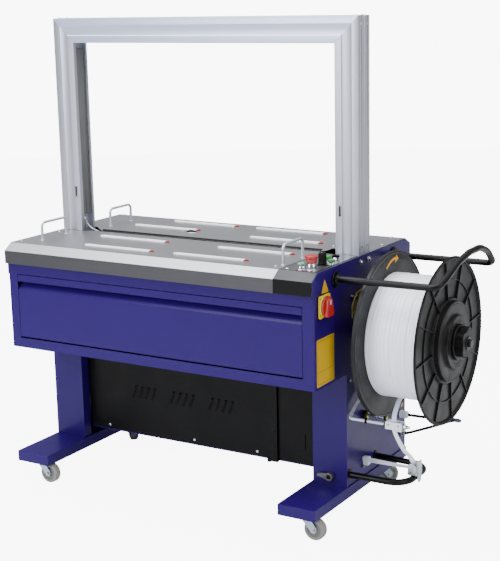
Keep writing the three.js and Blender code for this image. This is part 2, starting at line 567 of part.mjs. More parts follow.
const OUTER_PROFILE = [
  [BORE_R, OUTER_X0], [REEL_R - 10, OUTER_X0], [REEL_R, OUTER_X0 + 4.5], [REEL_R, OUTER_X1],
  [REEL_R - 8, OUTER_X1], [REEL_R - 10, OUTER_X0 + 3], [123, OUTER_X0 + 3], [120, 808],
  [116, 808], [115, 819], [112, 821], [78, 821], [76, 831], [BORE_R, 831], [BORE_R, OUTER_X0],
];
part('reel_axle', turned('x', AXLE_PROFILE, REEL, 20), 'zinc');
part('reel_inner_flange', turned('x', INNER_PROFILE, REEL, 30), 'reel');
part('strap_coil', turned('x', COIL_PROFILE, REEL, 30), 'strap');
part('reel_outer_flange', turned('x', OUTER_PROFILE, REEL, 30), 'reel');

// washer face with a five-lobed grip
const NUT_GRIP = ring(REEL, 30, (_, angle) => 42 + 4.5 * Math.cos(5 * angle));
part('reel_nut', cut(add(rod('x', 52, 831.6, 840, REEL, 24), prismX(NUT_GRIP, 839, 862)),
  rod('x', BORE_R, 820, 880, REEL, 20)), 'dark');

// Brake lever: pivots on the side panel, its shoe is hollowed to follow the drum; [y, z].
const BRAKE_OUTLINE = [
  [200, 604], [226, 604], [262, 657], [262, 668], [328, 665.5],
  [332, 671], [300, 684], [226, 672], [200, 640],
];
part('brake_lever', cut(add(prismX(BRAKE_OUTLINE, 553, 557), box(556, 606, 270, 322, 664, 671)),
  rod('x', 5.5, 540, 570, BRAKE_PIVOT, 16),
  rod('x', DRUM_R + 5.5, 580, 615, REEL, 36)), 'gold');

// ---------------------------------------------------------------- guard bar and strap guides
const GUARD_X = 857, GUARD_Y0 = 120, GUARD_Y1 = 500, GUARD_Z = 732;
// centre line: [x, y, z]
const GUARD_LINE = [
  [PANEL_X1 + 6, GUARD_Y0, GUARD_Z], [851, GUARD_Y0, 735], [GUARD_X, 152, 753],
  [GUARD_X, 238, 784], [GUARD_X, 320, 798], [GUARD_X, 400, 798], [GUARD_X, 460, 777],
  [GUARD_X, GUARD_Y1, 741], [848, 504, 733], [PANEL_X1 + 6, GUARD_Y1, GUARD_Z],
];
const GUARD_FLANGE = [
  [0, ON_PANEL], [24, ON_PANEL], [24, PANEL_X1 + 7], [20, PANEL_X1 + 10.5], [0, PANEL_X1 + 10.5],
];
part('guard_bar', add(bar(GUARD_LINE, 9.5, 34, 8, 3),
  ...[GUARD_Y0, GUARD_Y1].map(y => turned('x', GUARD_FLANGE, [y, GUARD_Z], 16))), 'tube');

const LOWER_TUBE_X = LEG_SIDE_X + 0.3;
const LOWER_TUBE_LINE = [
  [LOWER_TUBE_X, 210.5, 127], [715, 210.5, 127], [715, 385, 127], [LOWER_TUBE_X, 385, 130],
];
part('lower_guide_tube', bar(LOWER_TUBE_LINE, 9.5, 54, 10, 8), 'tube');

// guide arm on the leg stud, and the slotted block on its outer end
const ARM_END_Y = 184, ARM_END_Z = 310, ARM_END = [ARM_END_Y, ARM_END_Z];
const ARM_LINE = [
  [ARM_X, ARM_PIVOT[0] - 9, ARM_PIVOT[1] - 5.6], [ARM_X, ...ARM_END], [742, ...ARM_END],
];
part('guide_arm', cut(
  add(bar(ARM_LINE, 4, 12, 8, 4), rod('x', 12, ARM_X - 5, ARM_X + 5, ARM_PIVOT, 20)),
  rod('x', 6.5, ARM_X - 8, ARM_X + 8, ARM_PIVOT, 16)), 'zinc');
part('guide_block', cut(
  box(672, 722, ARM_END_Y - 14, ARM_END_Y + 14, ARM_END_Z - 12, ARM_END_Z + 12),
  rod('x', 4.4, 660, 730, ARM_END, 12),
  box(680, 700, ARM_END_Y + 5.5, ARM_END_Y + 9.5, ARM_END_Z - 20, ARM_END_Z + 20)), 'nylon');

// bracket on the tube nose that turns the strap back to the machine: [x0, x1, y0, y1, z0, z1]
const BRACKET_PLATES = [
  [704, 728.5, 262, 304, 137, 139.5],   // floor
  [701, 728.5, 262, 264.5, 137, 172],   // front cheek
  [701, 728.5, 301.5, 304, 137, 170],   // rear cheek
  [726, 728.5, 268, 304, 112, 178],     // outer plate
];
part('strap_guide_bracket', add(...boxes(BRACKET_PLATES)), 'cast');

// The strap from the coil through the guides to the entry in the leg sheet:
// centre line x, y, z, then the direction of the strap's width.
const STRAP_T = 1, STRAP_W = 14;
const STRAP_STATIONS = [
  [660, 312, 359, 1, 0, 0], [668, 270, 352, 1, 0.1, 0],
  [682, 215, 336, 1, 0, 0], [690, 191.5, 322, 1, 0, 0],
  [690, 191.5, 298, 1, 0, 0], [693, 204, 270, 1, 0.05, 0.03],
  [701, 236, 222, 0.95, 0.2, 0.2], [709.5, 257, 198, 0.88, 0.35, 0.3],
  [714.5, 271, 177, 0.75, 0.6, 0.3], [713, 281, 160, 0.5, 0.85, 0.15],
  [704, 289, 152, 0.2, 0.95, 0.2], [690, 292.5, 149.5, 0, 1, 0.25],
  [640, 299, 146.5, 0, 0.9, 0.4], [528, 307, 144, 0, 0.7, 0.7],
];
function strapTail() {
  const centres = STRAP_STATIONS.map(row => new THREE.Vector3(...row.slice(0, 3)));
  const last = centres.length - 1, halfW = STRAP_W / 2, halfT = STRAP_T / 2;
  const corners = [[-halfW, -halfT], [halfW, -halfT], [halfW, halfT], [-halfW, halfT]];
  const positions = [], index = [];
  centres.forEach((centre, i) => {
    const tangent = centres[Math.min(i + 1, last)].clone()
      .sub(centres[Math.max(i - 1, 0)]).normalize();
    const across = new THREE.Vector3(...STRAP_STATIONS[i].slice(3));
    across.addScaledVector(tangent, -across.dot(tangent)).normalize();
    const normal = tangent.clone().cross(across).normalize();
    for (const [width, depth] of corners) {
      const point = centre.clone().addScaledVector(across, width).addScaledVector(normal, depth);
      positions.push(...point.toArray());
    }
  });
  for (let i = 0; i < last; i++) {
    for (let k = 0; k < 4; k++) {
      const here = i * 4 + k, next = i * 4 + (k + 1) % 4;
      index.push(here, next, next + 4, here, next + 4, here + 4);
    }
  }
  const end = last * 4;
  index.push(0, 2, 1, 0, 3, 2, end, end + 1, end + 2, end, end + 2, end + 3);
  const geo = new THREE.BufferGeometry();
  geo.setAttribute('position', new THREE.Float32BufferAttribute(positions, 3));
  geo.setIndex(index);
  return geo;
}
part('strap_tail', strapTail(), 'strap');

// quarter turn latch on the right post; the handle is [x, z] from its spindle
const LATCH_HANDLE = [[1, -12], [-39, -2], [-39, 4], [-33, 7], [3, 12]];
function latchLever() {
  const place = [LATCH_X, LATCH_Z];
  const handle = LATCH_HANDLE.map(([x, z]) => [LATCH_X + x, LATCH_Z + z]);
  return cut(add(rod('y', 12.5, POST_Y - 14, POST_Y - 0.4, place, 24),
    prismY(handle, POST_Y - 12, POST_Y - 6)),
  rod('y', 6.5, POST_Y - 8, POST_Y + 5, place, 16));
}
part('latch_lever', latchLever(), 'cast');

// ---------------------------------------------------------------- castors
const WHEEL_R = 32.5, TREAD_HALF = 12.5, TRAIL = 28;
const WHEEL_Z = WHEEL_R + FLOOR_Z;
const FORK_IN = TREAD_HALF + 1.8, FORK_OUT = FORK_IN + 2.5; // faces of the fork cheeks
// [x, z]
const FORK_CHEEK = [
  [-20, 76], [16, 76], [18, 60], [TRAIL + 10, WHEEL_Z + 6], [TRAIL + 9, WHEEL_Z - 4],
  [TRAIL, WHEEL_Z - 9], [TRAIL - 9, WHEEL_Z - 4], [-14, 58],
];
// from the bore out to the tread: [radius, y], mirrored to the other face
const WHEEL_FACE = [
  [4.5, TREAD_HALF + 1], [11, TREAD_HALF + 1], [18, TREAD_HALF - 2], [20, TREAD_HALF],
  [WHEEL_R - 2, TREAD_HALF], [WHEEL_R, TREAD_HALF - 3],
];
const WHEEL_PROFILE = [
  ...WHEEL_FACE.map(([radius, y]) => [radius, -y]), ...WHEEL_FACE.toReversed(),
  [4.5, -TREAD_HALF - 1],
];
function castorFork() {
  const head = cut(
    add(rod('z', 19, 73, 83.6, [0, 0], 16), box(-20, 20, -FORK_OUT, FORK_OUT, 73, 76)),
    rod('z', KING_PIN_R + 0.6, 60, 90, [0, 0], 12));
  return add(head, prismY(FORK_CHEEK, -FORK_OUT, -FORK_IN), prismY(FORK_CHEEK, FORK_IN, FORK_OUT),
    rod('y', 4, -FORK_IN - 6, FORK_IN + 6, [TRAIL, WHEEL_Z], 12));
}
// [tag, side, y, trailing direction in degrees from +X]
const CASTORS = [
  ['front_left', -1, CASTOR_FRONT_Y, 0], ['front_right', 1, CASTOR_FRONT_Y, 0],
  ['rear_left', -1, CASTOR_REAR_Y, -40], ['rear_right', 1, CASTOR_REAR_Y, 45],
];
for (const [tag, side, y, turn] of CASTORS) {
  const castor = new THREE.Group();
  castor.position.set(castorX(side), y, 0);
  castor.rotation.z = THREE.MathUtils.degToRad(turn);
  machine.add(castor);
  part('castor_fork_' + tag, castorFork(), 'zinc', castor);
  part('castor_wheel_' + tag, turned('y', WHEEL_PROFILE, [0, 0], 20), 'tyre', castor)
    .position.set(TRAIL, 0, WHEEL_Z);
}

// ---------------------------------------------------------------- mechanism inside the housing
const CAM_AXIS = [300, 600], ROLLER_AXIS = [292, 690], MOTOR_AXIS = [420, 560];
// [x0, x1, y0, y1, z0, z1]
const HEAD_PLATES = [
  [-34, -26, 262, 338, 520, 752], [76, 84, 262, 338, 520, 752], // side plates
  [-34, 84, 262, 338, 520, 530],                                // floor
  [-10, 60, 337, 352, 480, 530],                                // foot on the rail
  [-34, 84, 330, 338, 520, 560],                                // rear plate
];
function sealingHead() {
  // slotted crown under the table slot
  const crown = cut(box(-34, 84, 270, 320, 740, 752), box(8, 42, 284, 306, 730, 760));
  return cut(add(...boxes(HEAD_PLATES), crown),
    rod('x', 12.9, -60, 100, CAM_AXIS, 20), rod('x', 8.9, -60, 100, ROLLER_AXIS, 16));
}
part('sealing_head', sealingHead(), 'cast');

// eccentric cams: [x, angle of the throw in radians]
const CAMS = [[-14, 0.2], [8, 1.8], [30, 3.4], [52, 5.0]];
const CAM_THROW = 8;
function camShaft() {
  const [y, z] = CAM_AXIS;
  const cams = CAMS.map(([x, angle]) => rod('x', 24, x, x + 10,
    [y + CAM_THROW * Math.cos(angle), z + CAM_THROW * Math.sin(angle)], 16));
  return add(rod('x', 12, -60, 96, CAM_AXIS, 16), ...cams, rod('x', 40, -60, -48, CAM_AXIS, 20));
}
part('cam_shaft', camShaft(), 'zinc');
part('feed_roller', add(rod('x', 8, -60, 96, ROLLER_AXIS, 12),
  rod('x', 24, 0, 50, ROLLER_AXIS, 20), rod('x', 22, -60, -48, ROLLER_AXIS, 16)), 'nylon');
part('press_slide', add(box(10, 40, 289.5, 299.5, 716, 750),
  box(2, 48, 282, 308, 714.6, 722)), 'zinc');
// motor barrel, gearbox, output shaft and base
part('drive_motor', add(rod('x', 62, -290, -110, MOTOR_AXIS, 20),
  box(-110, -60, 360, 480, 500, 620), rod('x', 12, -62, -44, MOTOR_AXIS, 20),
  box(-270, -130, 380, 460, 480.5, 506)), 'motor');

machine.position.set(-ORIGIN_X, -ORIGIN_Y, -FLOOR_Z);
export default machine;
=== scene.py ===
# Semi automatic strapping machine: a table on castors, an arch over it, and a strap reel on
# the right side. Shapes are laid out in millimetres: +x is right, -y is front, z is up.
# ORIGIN is the layout point (middle of the footprint, floor) that becomes the scene's origin.
import math

import bmesh
import bpy
from mathutils import Matrix, Vector


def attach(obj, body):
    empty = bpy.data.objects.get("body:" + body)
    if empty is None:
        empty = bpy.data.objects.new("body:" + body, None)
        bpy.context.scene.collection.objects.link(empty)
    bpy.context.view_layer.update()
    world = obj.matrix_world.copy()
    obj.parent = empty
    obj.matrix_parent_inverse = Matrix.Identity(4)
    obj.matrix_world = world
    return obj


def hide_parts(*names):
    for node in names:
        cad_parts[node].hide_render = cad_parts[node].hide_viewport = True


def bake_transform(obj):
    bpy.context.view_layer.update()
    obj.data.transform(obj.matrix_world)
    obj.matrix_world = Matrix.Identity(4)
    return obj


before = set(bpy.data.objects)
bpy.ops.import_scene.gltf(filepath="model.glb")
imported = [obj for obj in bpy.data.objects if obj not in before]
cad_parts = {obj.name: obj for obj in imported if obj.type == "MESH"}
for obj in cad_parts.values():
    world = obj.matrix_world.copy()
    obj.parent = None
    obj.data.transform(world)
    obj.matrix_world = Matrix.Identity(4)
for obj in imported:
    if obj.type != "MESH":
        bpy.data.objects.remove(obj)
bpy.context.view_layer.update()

rad = math.radians
MM = 0.001
ORIGIN = (164.5, 306.25, -8.0)
RIGHT, REAR, FRONT, UP = (1, 0, 0), (0, 1, 0), (0, -1, 0), (0, 0, 1)
ENDS = ("front", "rear")

TABLE_Z = 768.0      # upper face of the table
SIDE_X = 543.0       # outer face of the right side panel
LEG_X = 538.0        # outer face of the right leg frame
COVER_Y = 229.7      # front face of the lower cover
MID_Y = 312.0        # middle plane of the arch and of the reel axle


def to_scene(x, y, z):
    """Layout millimetres to scene metres."""
    return (x - ORIGIN[0]) * MM, (y - ORIGIN[1]) * MM, (z - ORIGIN[2]) * MM


# ------------------------------------------------------------------ materials
def add_node(tree, kind, inputs=None, **settings):
    """A shader node; inputs holds values to set or sockets to link from."""
    node = tree.nodes.new(kind)
    for key, value in settings.items():
        setattr(node, key, value)
    for key, value in (inputs or {}).items():
        if isinstance(value, bpy.types.NodeSocket):
            tree.links.new(value, node.inputs[key])
        else:
            node.inputs[key].default_value = value
    return node


def linear(value):
    """One 0-255 sRGB channel as linear light."""
    value /= 255.0
    return value / 12.92 if value <= 0.04045 else ((value + 0.055) / 1.055) ** 2.4


def material(name, rgb, rough, metal=0.0, spec=0.5, gain=0.5, tint=0.05, tint_scale=5.0,
             rough_var=0.06, coat=0.0, coat_rough=0.08, bump=0.05, bump_scale=700.0,
             bump_depth=0.0002, stretch=None, speck=0.0, speck_scale=2500.0, streak=0.0,
             streak_scale=(1, 1, 1), subsurface=0.0, painted_side_shade=None):
    """Procedural finish.

    rgb, gain: sRGB colour and the factor on its linear value
    tint, rough_var: cloudy variation of colour and of roughness
    speck, streak: strength of light specks and of brushed streaks
    stretch, streak_scale: noise scale per axis, high across the brushing
    painted_side_shade: painted shade; the least share of colour, kept on faces that do not face
    up, which lighten to full colour as their normal turns up
    """
    mat = bpy.data.materials.new(name)
    mat.use_nodes = True
    tree = mat.node_tree
    shader = tree.nodes["Principled BSDF"]
    shader.inputs["Metallic"].default_value = metal
    shader.inputs["Coat Weight"].default_value = coat
    shader.inputs["Coat Roughness"].default_value = coat_rough
    shader.inputs["Specular IOR Level"].default_value = spec
    if subsurface:
        shader.inputs["Subsurface Weight"].default_value = subsurface
        shader.inputs["Subsurface Radius"].default_value = (0.004, 0.004, 0.004)
    place = add_node(tree, "ShaderNodeTexCoord").outputs

    def noise(scale, detail, axes=None, roughness=0.55):
        vector = place["Object"]
        if axes:
            mapping = add_node(tree, "ShaderNodeMapping", {"Scale": axes, "Vector": vector})
            vector = mapping.outputs["Vector"]
        return add_node(tree, "ShaderNodeTexNoise", {
            "Scale": scale, "Detail": detail, "Roughness": roughness, "Vector": vector,
        }).outputs["Fac"]

    def ranged(socket, low, high, from_low=0.3, from_high=0.7):
        return add_node(tree, "ShaderNodeMapRange", {
            "From Min": from_low, "From Max": from_high, "To Min": low, "To Max": high,
            "Value": socket}).outputs["Result"]

    def mixed(factor, a, b):
        return add_node(tree, "ShaderNodeMix", {"Factor": factor, "A": a, "B": b},
                        data_type="RGBA").outputs["Result"]

    base = [linear(c) * gain for c in rgb]

    def tone(factor, lift=0.0):
        return (*(min(1, c * factor + lift) for c in base), 1)

    black, white = (0, 0, 0, 1), (1, 1, 1, 1)
    colour = mixed(ranged(noise(tint_scale, 5), 0.0, 1.0), tone(1 - tint), tone(1 + tint))
    if streak:
        lines = ranged(noise(1.0, 6, streak_scale, 0.7), 0.0, 1.0)
        colour = mixed(lines, mixed(streak, colour, black), mixed(streak * 0.6, colour, white))
    if speck:
        dots = ranged(noise(speck_scale, 2), 0.0, speck, 0.45, 0.75)
        colour = mixed(dots, colour, tone(2.2, 0.01))
    # painted shade: faces that do not face up are darkened towards black
    if painted_side_shade is not None:
        normal = add_node(tree, "ShaderNodeSeparateXYZ", {"Vector": place["Normal"]})
        colour = mixed(ranged(normal.outputs["Z"], painted_side_shade, 1.0, 0.05, 0.4), black, colour)
    tree.links.new(colour, shader.inputs["Base Color"])
    roughness = ranged(noise(tint_scale * 2.3, 4, stretch),
                       max(0.03, rough - rough_var), min(1, rough + rough_var))
    tree.links.new(roughness, shader.inputs["Roughness"])
    relief = add_node(tree, "ShaderNodeBump", {
        "Strength": bump, "Distance": bump_depth, "Height": noise(bump_scale, 3, stretch)})
    tree.links.new(relief.outputs["Normal"], shader.inputs["Normal"])
    return mat


# sheet metal and extrusions
BLUE = material("blue_powder_coat", rgb=(40, 0, 112), rough=0.36, coat=0.12, coat_rough=0.2,
                tint=0.045, tint_scale=3.0, bump=0.22, bump_scale=420, bump_depth=0.0003,
                speck=0.2, speck_scale=1500, spec=0.12)
BLACK_SHEET = material("black_powder_coat", rgb=(4, 4, 6), rough=0.45, tint=0.08, bump=0.3,
                       bump_scale=520, bump_depth=0.0003, speck=0.15, spec=0.12)
# painted_side_shade darkens the edges and walls of the table tops and the chute: painted shade
STEEL = material("brushed_stainless", rgb=(162, 163, 168), rough=0.42, metal=1.0, gain=1.0,
                 tint_scale=2.2, rough_var=0.04, bump=0.06, bump_scale=1.0,
                 bump_depth=0.00005, stretch=(5, 420, 420), painted_side_shade=0.2, streak=0.05,
                 streak_scale=(3, 300, 300))
ANODISED = dict(rough=0.4, metal=0.8, tint=0.03, rough_var=0.05, bump=0.3, bump_scale=1.0,
                bump_depth=0.0001, streak=0.05, gain=1.0)
ALU_UPRIGHT = material("anodised_profile_upright", rgb=(176, 178, 190),
                       stretch=(700, 700, 4), streak_scale=(260, 260, 1.2), **ANODISED)
# the cross profiles are the same anodised extrusion as the uprights, given a lighter, bluer
# colour: painted light
ALU_CROSS_PAINTED_LIGHT = material("anodised_profile_cross_painted_light", rgb=(184, 191, 216),
                     stretch=(4, 700, 700), streak_scale=(1.2, 260, 260), **ANODISED)
FLAP_GREY = material("track_flap_plastic", rgb=(104, 104, 106), rough=0.5, tint=0.1,
                     tint_scale=9, bump=0.15, streak=0.12, streak_scale=(60, 60, 2))
CHROME = material("bright_chrome_wire", rgb=(205, 210, 220), rough=0.13, metal=1.0, tint=0.04,
                  rough_var=0.04, bump=0.04, bump_scale=260, bump_depth=0.0001, gain=1.0)
SCREW = material("bright_zinc_screw", rgb=(190, 192, 196), rough=0.24, metal=1.0, tint=0.08,
                 tint_scale=60, bump=0.1, bump_scale=900, gain=0.8)
# controls and labels
RED = material("red_moulded_plastic", rgb=(200, 34, 28), rough=0.36, coat=0.1, tint_scale=30,
               bump=0.08, bump_scale=1500, subsurface=0.03)
DARK_RED = material("dark_red_plastic", rgb=(118, 28, 38), rough=0.4, tint=0.06, bump=0.08)
YELLOW = material("yellow_moulded_plastic", rgb=(244, 214, 0), rough=0.4, coat=0.05, gain=0.6,
                  tint_scale=25, bump=0.08, bump_scale=1500)
LABEL = material("yellow_vinyl_label", rgb=(255, 204, 0), rough=0.46, gain=0.46, tint=0.04,
                 tint_scale=12, bump=0.06, bump_scale=300, spec=0.3)
LABEL_PRINT = material("label_dark_print", rgb=(62, 52, 24), rough=0.45, tint=0.1)
MINT = material("mint_button_cap", rgb=(134, 207, 164), rough=0.3, coat=0.3, tint_scale=40)
GREEN = material("green_button_cap", rgb=(60, 190, 80), rough=0.3, coat=0.3, tint_scale=40)
BAKELITE = material("black_bakelite", rgb=(15, 15, 17), rough=0.42, spec=0.16, tint=0.12,
                    tint_scale=40, bump=0.12, bump_scale=900)
PANEL_BLACK = material("control_panel_front", rgb=(14, 14, 15), rough=0.46, tint=0.08,
                       bump=0.25, bump_scale=600, speck=0.15, spec=0.12)
PANEL_TOP = material("control_panel_plate", rgb=(150, 152, 156), rough=0.3, metal=0.9,
                     tint=0.06, tint_scale=14, bump=0.25, bump_scale=1.0,
                     stretch=(12, 600, 600), streak=0.08, streak_scale=(6, 300, 300), gain=0.7)
# reel and strap
REEL_BLACK = material("reel_moulded_plastic", rgb=(24, 24, 25), rough=0.42, tint=0.07,
                      tint_scale=7, rough_var=0.08, bump=0.12, bump_scale=260, spec=0.22)
# darker copy of the reel plastic, laid over the outer flange's rim: painted shade
RIM_BLACK = material("reel_rim_plastic_painted_shade", rgb=(16, 16, 18), rough=0.5, spec=0.1, tint=0.07,
                     tint_scale=8, bump=0.08, bump_scale=260)
ORANGE = material("orange_arrow_print", rgb=(244, 172, 18), rough=0.45, tint_scale=30,
                  bump=0.04, gain=0.8, spec=0.2)
STRAP = material("embossed_strap", rgb=(238, 242, 255), rough=0.34, coat=0.15, tint=0.02,
                 tint_scale=12, bump=0.35, bump_scale=620, bump_depth=0.0004,
                 subsurface=0.04, gain=1.0)
# bars, fittings and castors
TUBE_BLACK = material("gloss_black_tube", rgb=(8, 8, 11), rough=0.36, coat=0.03,
                      coat_rough=0.15, spec=0.16, tint=0.12, tint_scale=10, bump=0.02,
                      bump_scale=160)
RUBBER = material("black_rubber", rgb=(16, 16, 17), rough=0.62, spec=0.2, tint=0.1,
                  tint_scale=30, bump=0.25, bump_scale=900)
ZINC = material("bright_zinc_plate", rgb=(172, 184, 200), rough=0.25, metal=1.0, tint=0.07,
                tint_scale=24, rough_var=0.08, bump=0.12, bump_scale=500, gain=0.8)
GOLD = material("yellow_passivated_zinc", rgb=(186, 172, 92), rough=0.3, metal=0.9, tint=0.18,
                tint_scale=18, bump=0.12, bump_scale=400, gain=0.7)
NYLON = material("white_nylon", rgb=(232, 234, 240), rough=0.42, tint=0.03, tint_scale=30,
                 bump=0.12, bump_scale=400, gain=0.9)
STRIP_WHITE = material("white_slide_strip", rgb=(250, 250, 255), rough=0.4, tint=0.02,
                       tint_scale=30, bump=0.1, bump_scale=400, gain=1.0)
CAST = material("sand_cast_metal", rgb=(122, 122, 124), rough=0.42, metal=0.85, tint=0.1,
                tint_scale=30, bump=0.5, bump_scale=420, bump_depth=0.0006, gain=0.7)
TYRE = material("grey_castor_tyre", rgb=(150, 149, 143), rough=0.6, tint=0.07, tint_scale=25,
                bump=0.3, bump_scale=500, gain=0.6)
HUB = material("grey_castor_hub", rgb=(128, 128, 126), rough=0.5, tint=0.06, tint_scale=25,
               bump=0.2, bump_scale=500, gain=0.6)
MOTOR = material("motor_enamel", rgb=(92, 104, 114), rough=0.45, tint=0.08, bump=0.3,
                 bump_scale=300)
BLACK_OXIDE = material("black_oxide_steel", rgb=(52, 52, 55), rough=0.34, metal=0.7,
                       tint=0.12, tint_scale=40, bump=0.12, bump_scale=600)
BRIGHT_PLATE = material("bright_formed_plate", rgb=(206, 210, 218), rough=0.3, metal=0.75,
                        tint_scale=30, bump=0.15, bump_scale=500, gain=0.8)
PANEL_SLOPE = material("control_panel_slope", rgb=(84, 86, 93), rough=0.4, spec=0.25,
                       bump=0.2, bump_scale=500)
ROD = material("polished_round_rod", rgb=(196, 202, 212), rough=0.34, metal=0.45, tint=0.06,
               tint_scale=30, bump=0.08, bump_scale=500, gain=0.9)
CABLE = material("cable_sheath", rgb=(26, 26, 27), rough=0.45, tint=0.1, bump=0.2,
                 bump_scale=500)
# near-black for the slot's edge rubber, and as painted shade in gaps, slots and holes
DARK = material("rubber_and_painted_gap_shade", rgb=(12, 12, 13), rough=0.7, tint=0.15, bump=0.1)


# ------------------------------------------------------------------ outlines and paths
def around(u, v, radius, angle):
    """Point at a radius and an angle in radians from (u, v)."""
    return u + radius * math.cos(angle), v + radius * math.sin(angle)


def fillet(corner, before, after, radius):
    """Centre, start, end and fitted radius of the arc between two edges leaving a corner."""
    half = before.angle(after) / 2
    reach = min(radius / math.tan(half), before.length * 0.49, after.length * 0.49)
    radius = reach * math.tan(half)
    before, after = before.normalized(), after.normalized()
    centre = corner + (before + after).normalized() * (radius / math.sin(half))
    return centre, corner + before * reach, corner + after * reach, radius


def rounded(points, radius, steps=4):
    """Outline with rounded corners; radius is one value or one per corner."""
    out = []
    for i, point in enumerate(points):
        corner = Vector(point)
        before = Vector(points[i - 1]) - corner
        after = Vector(points[(i + 1) % len(points)]) - corner
        r = radius[i] if isinstance(radius, list) else radius
        if r <= 0 or before.angle(after) > rad(178):
            out.append(tuple(corner))
            continue
        centre, start, end, r = fillet(corner, before, after, r)
        a0, a1 = math.atan2(*(start - centre).yx), math.atan2(*(end - centre).yx)
        while a1 - a0 > math.pi:
            a1 -= 2 * math.pi
        while a1 - a0 < -math.pi:
            a1 += 2 * math.pi
        out += [around(centre.x, centre.y, r, a0 + (a1 - a0) * j / steps)
                for j in range(steps + 1)]
    return out


def round_rect(u0, u1, v0, v1, radius, steps=4):
    return rounded([(u0, v0), (u1, v0), (u1, v1), (u0, v1)], radius, steps)


def folded_sheet(points, thickness, radius, steps):
    """Section of a folded sheet: points run along one face, thickness is to their left."""
    points = [Vector(p) for p in points]
    normals = []
    for a, b in zip(points, points[1:]):
        edge = (b - a).normalized()
        normals.append(Vector((-edge.y, edge.x)))
    inner = []
    for i, point in enumerate(points):
        n0, n1 = normals[max(i - 1, 0)], normals[min(i, len(normals) - 1)]
        inner.append(point + (n0 + n1) * (thickness / (1 + n0.dot(n1))))

    def bent(line, r):
        out = [tuple(line[0])]
        for i in range(1, len(line) - 1):
            out += rounded(line[i - 1:i + 2], [0, r, 0], steps)[1:-1]
        return out + [tuple(line[-1])]

    return bent(points, radius) + bent(inner, max(0.6, radius - abs(thickness)))[::-1]


def bent_path(points, radius, steps=7):
    """3D polyline with rounded corners; radius is one value or one per inner corner."""
    points = [Vector(p) for p in points]
    out = [points[0]]
    for i in range(1, len(points) - 1):
        before, after = points[i - 1] - points[i], points[i + 1] - points[i]
        r = radius[i - 1] if isinstance(radius, list) else radius
        if before.angle(after) > rad(178):
            out.append(points[i])
            continue
        centre, start, end, r = fillet(points[i], before, after, r)
        spoke0, spoke1 = start - centre, end - centre
        turn = spoke0.angle(spoke1)
        axis = spoke0.cross(spoke1).normalized()
        out += [centre + Matrix.Rotation(turn * j / steps, 3, axis) @ spoke0
                for j in range(steps + 1)]
    return out + [points[-1]]


def catmull(points, steps):
    """Smooth curve through the points."""
    points = [Vector(p) for p in points]
    last = len(points) - 1
    out = []
    for i in range(last):
        p0, p1, p2, p3 = points[max(i - 1, 0)], points[i], points[i + 1], points[min(i + 2, last)]
        for j in range(steps):
            t = j / steps
            out.append(0.5 * ((2 * p1) + (p2 - p0) * t + (2 * p0 - 5 * p1 + 4 * p2 - p3) * t * t
                              + (3 * p1 - p0 - 3 * p2 + p3) * t ** 3))
    return out + [points[-1]]


def tangents(path):
    last = len(path) - 1
    return [(path[min(i + 1, last)] - path[max(i - 1, 0)]).normalized()
            for i in range(len(path))]


def axes_for(direction):
    """Unit direction and two unit vectors square to it."""
    d = Vector(direction).normalized()
    u = d.cross(Vector((0, 0, 1)) if abs(d.z) < 0.9 else Vector((1, 0, 0))).normalized()
    return d, u, d.cross(u).normalized()


# ------------------------------------------------------------------ solids
def skin(rows, count):
    """Quads between successive closed rows of count points."""
    return [[a * count + i, a * count + (i + 1) % count,
             (a + 1) * count + (i + 1) % count, (a + 1) * count + i]
            for a in range(rows - 1) for i in range(count)]


def end_faces(rows, count):
    return [list(range(count))[::-1], [(rows - 1) * count + i for i in range(count)]]


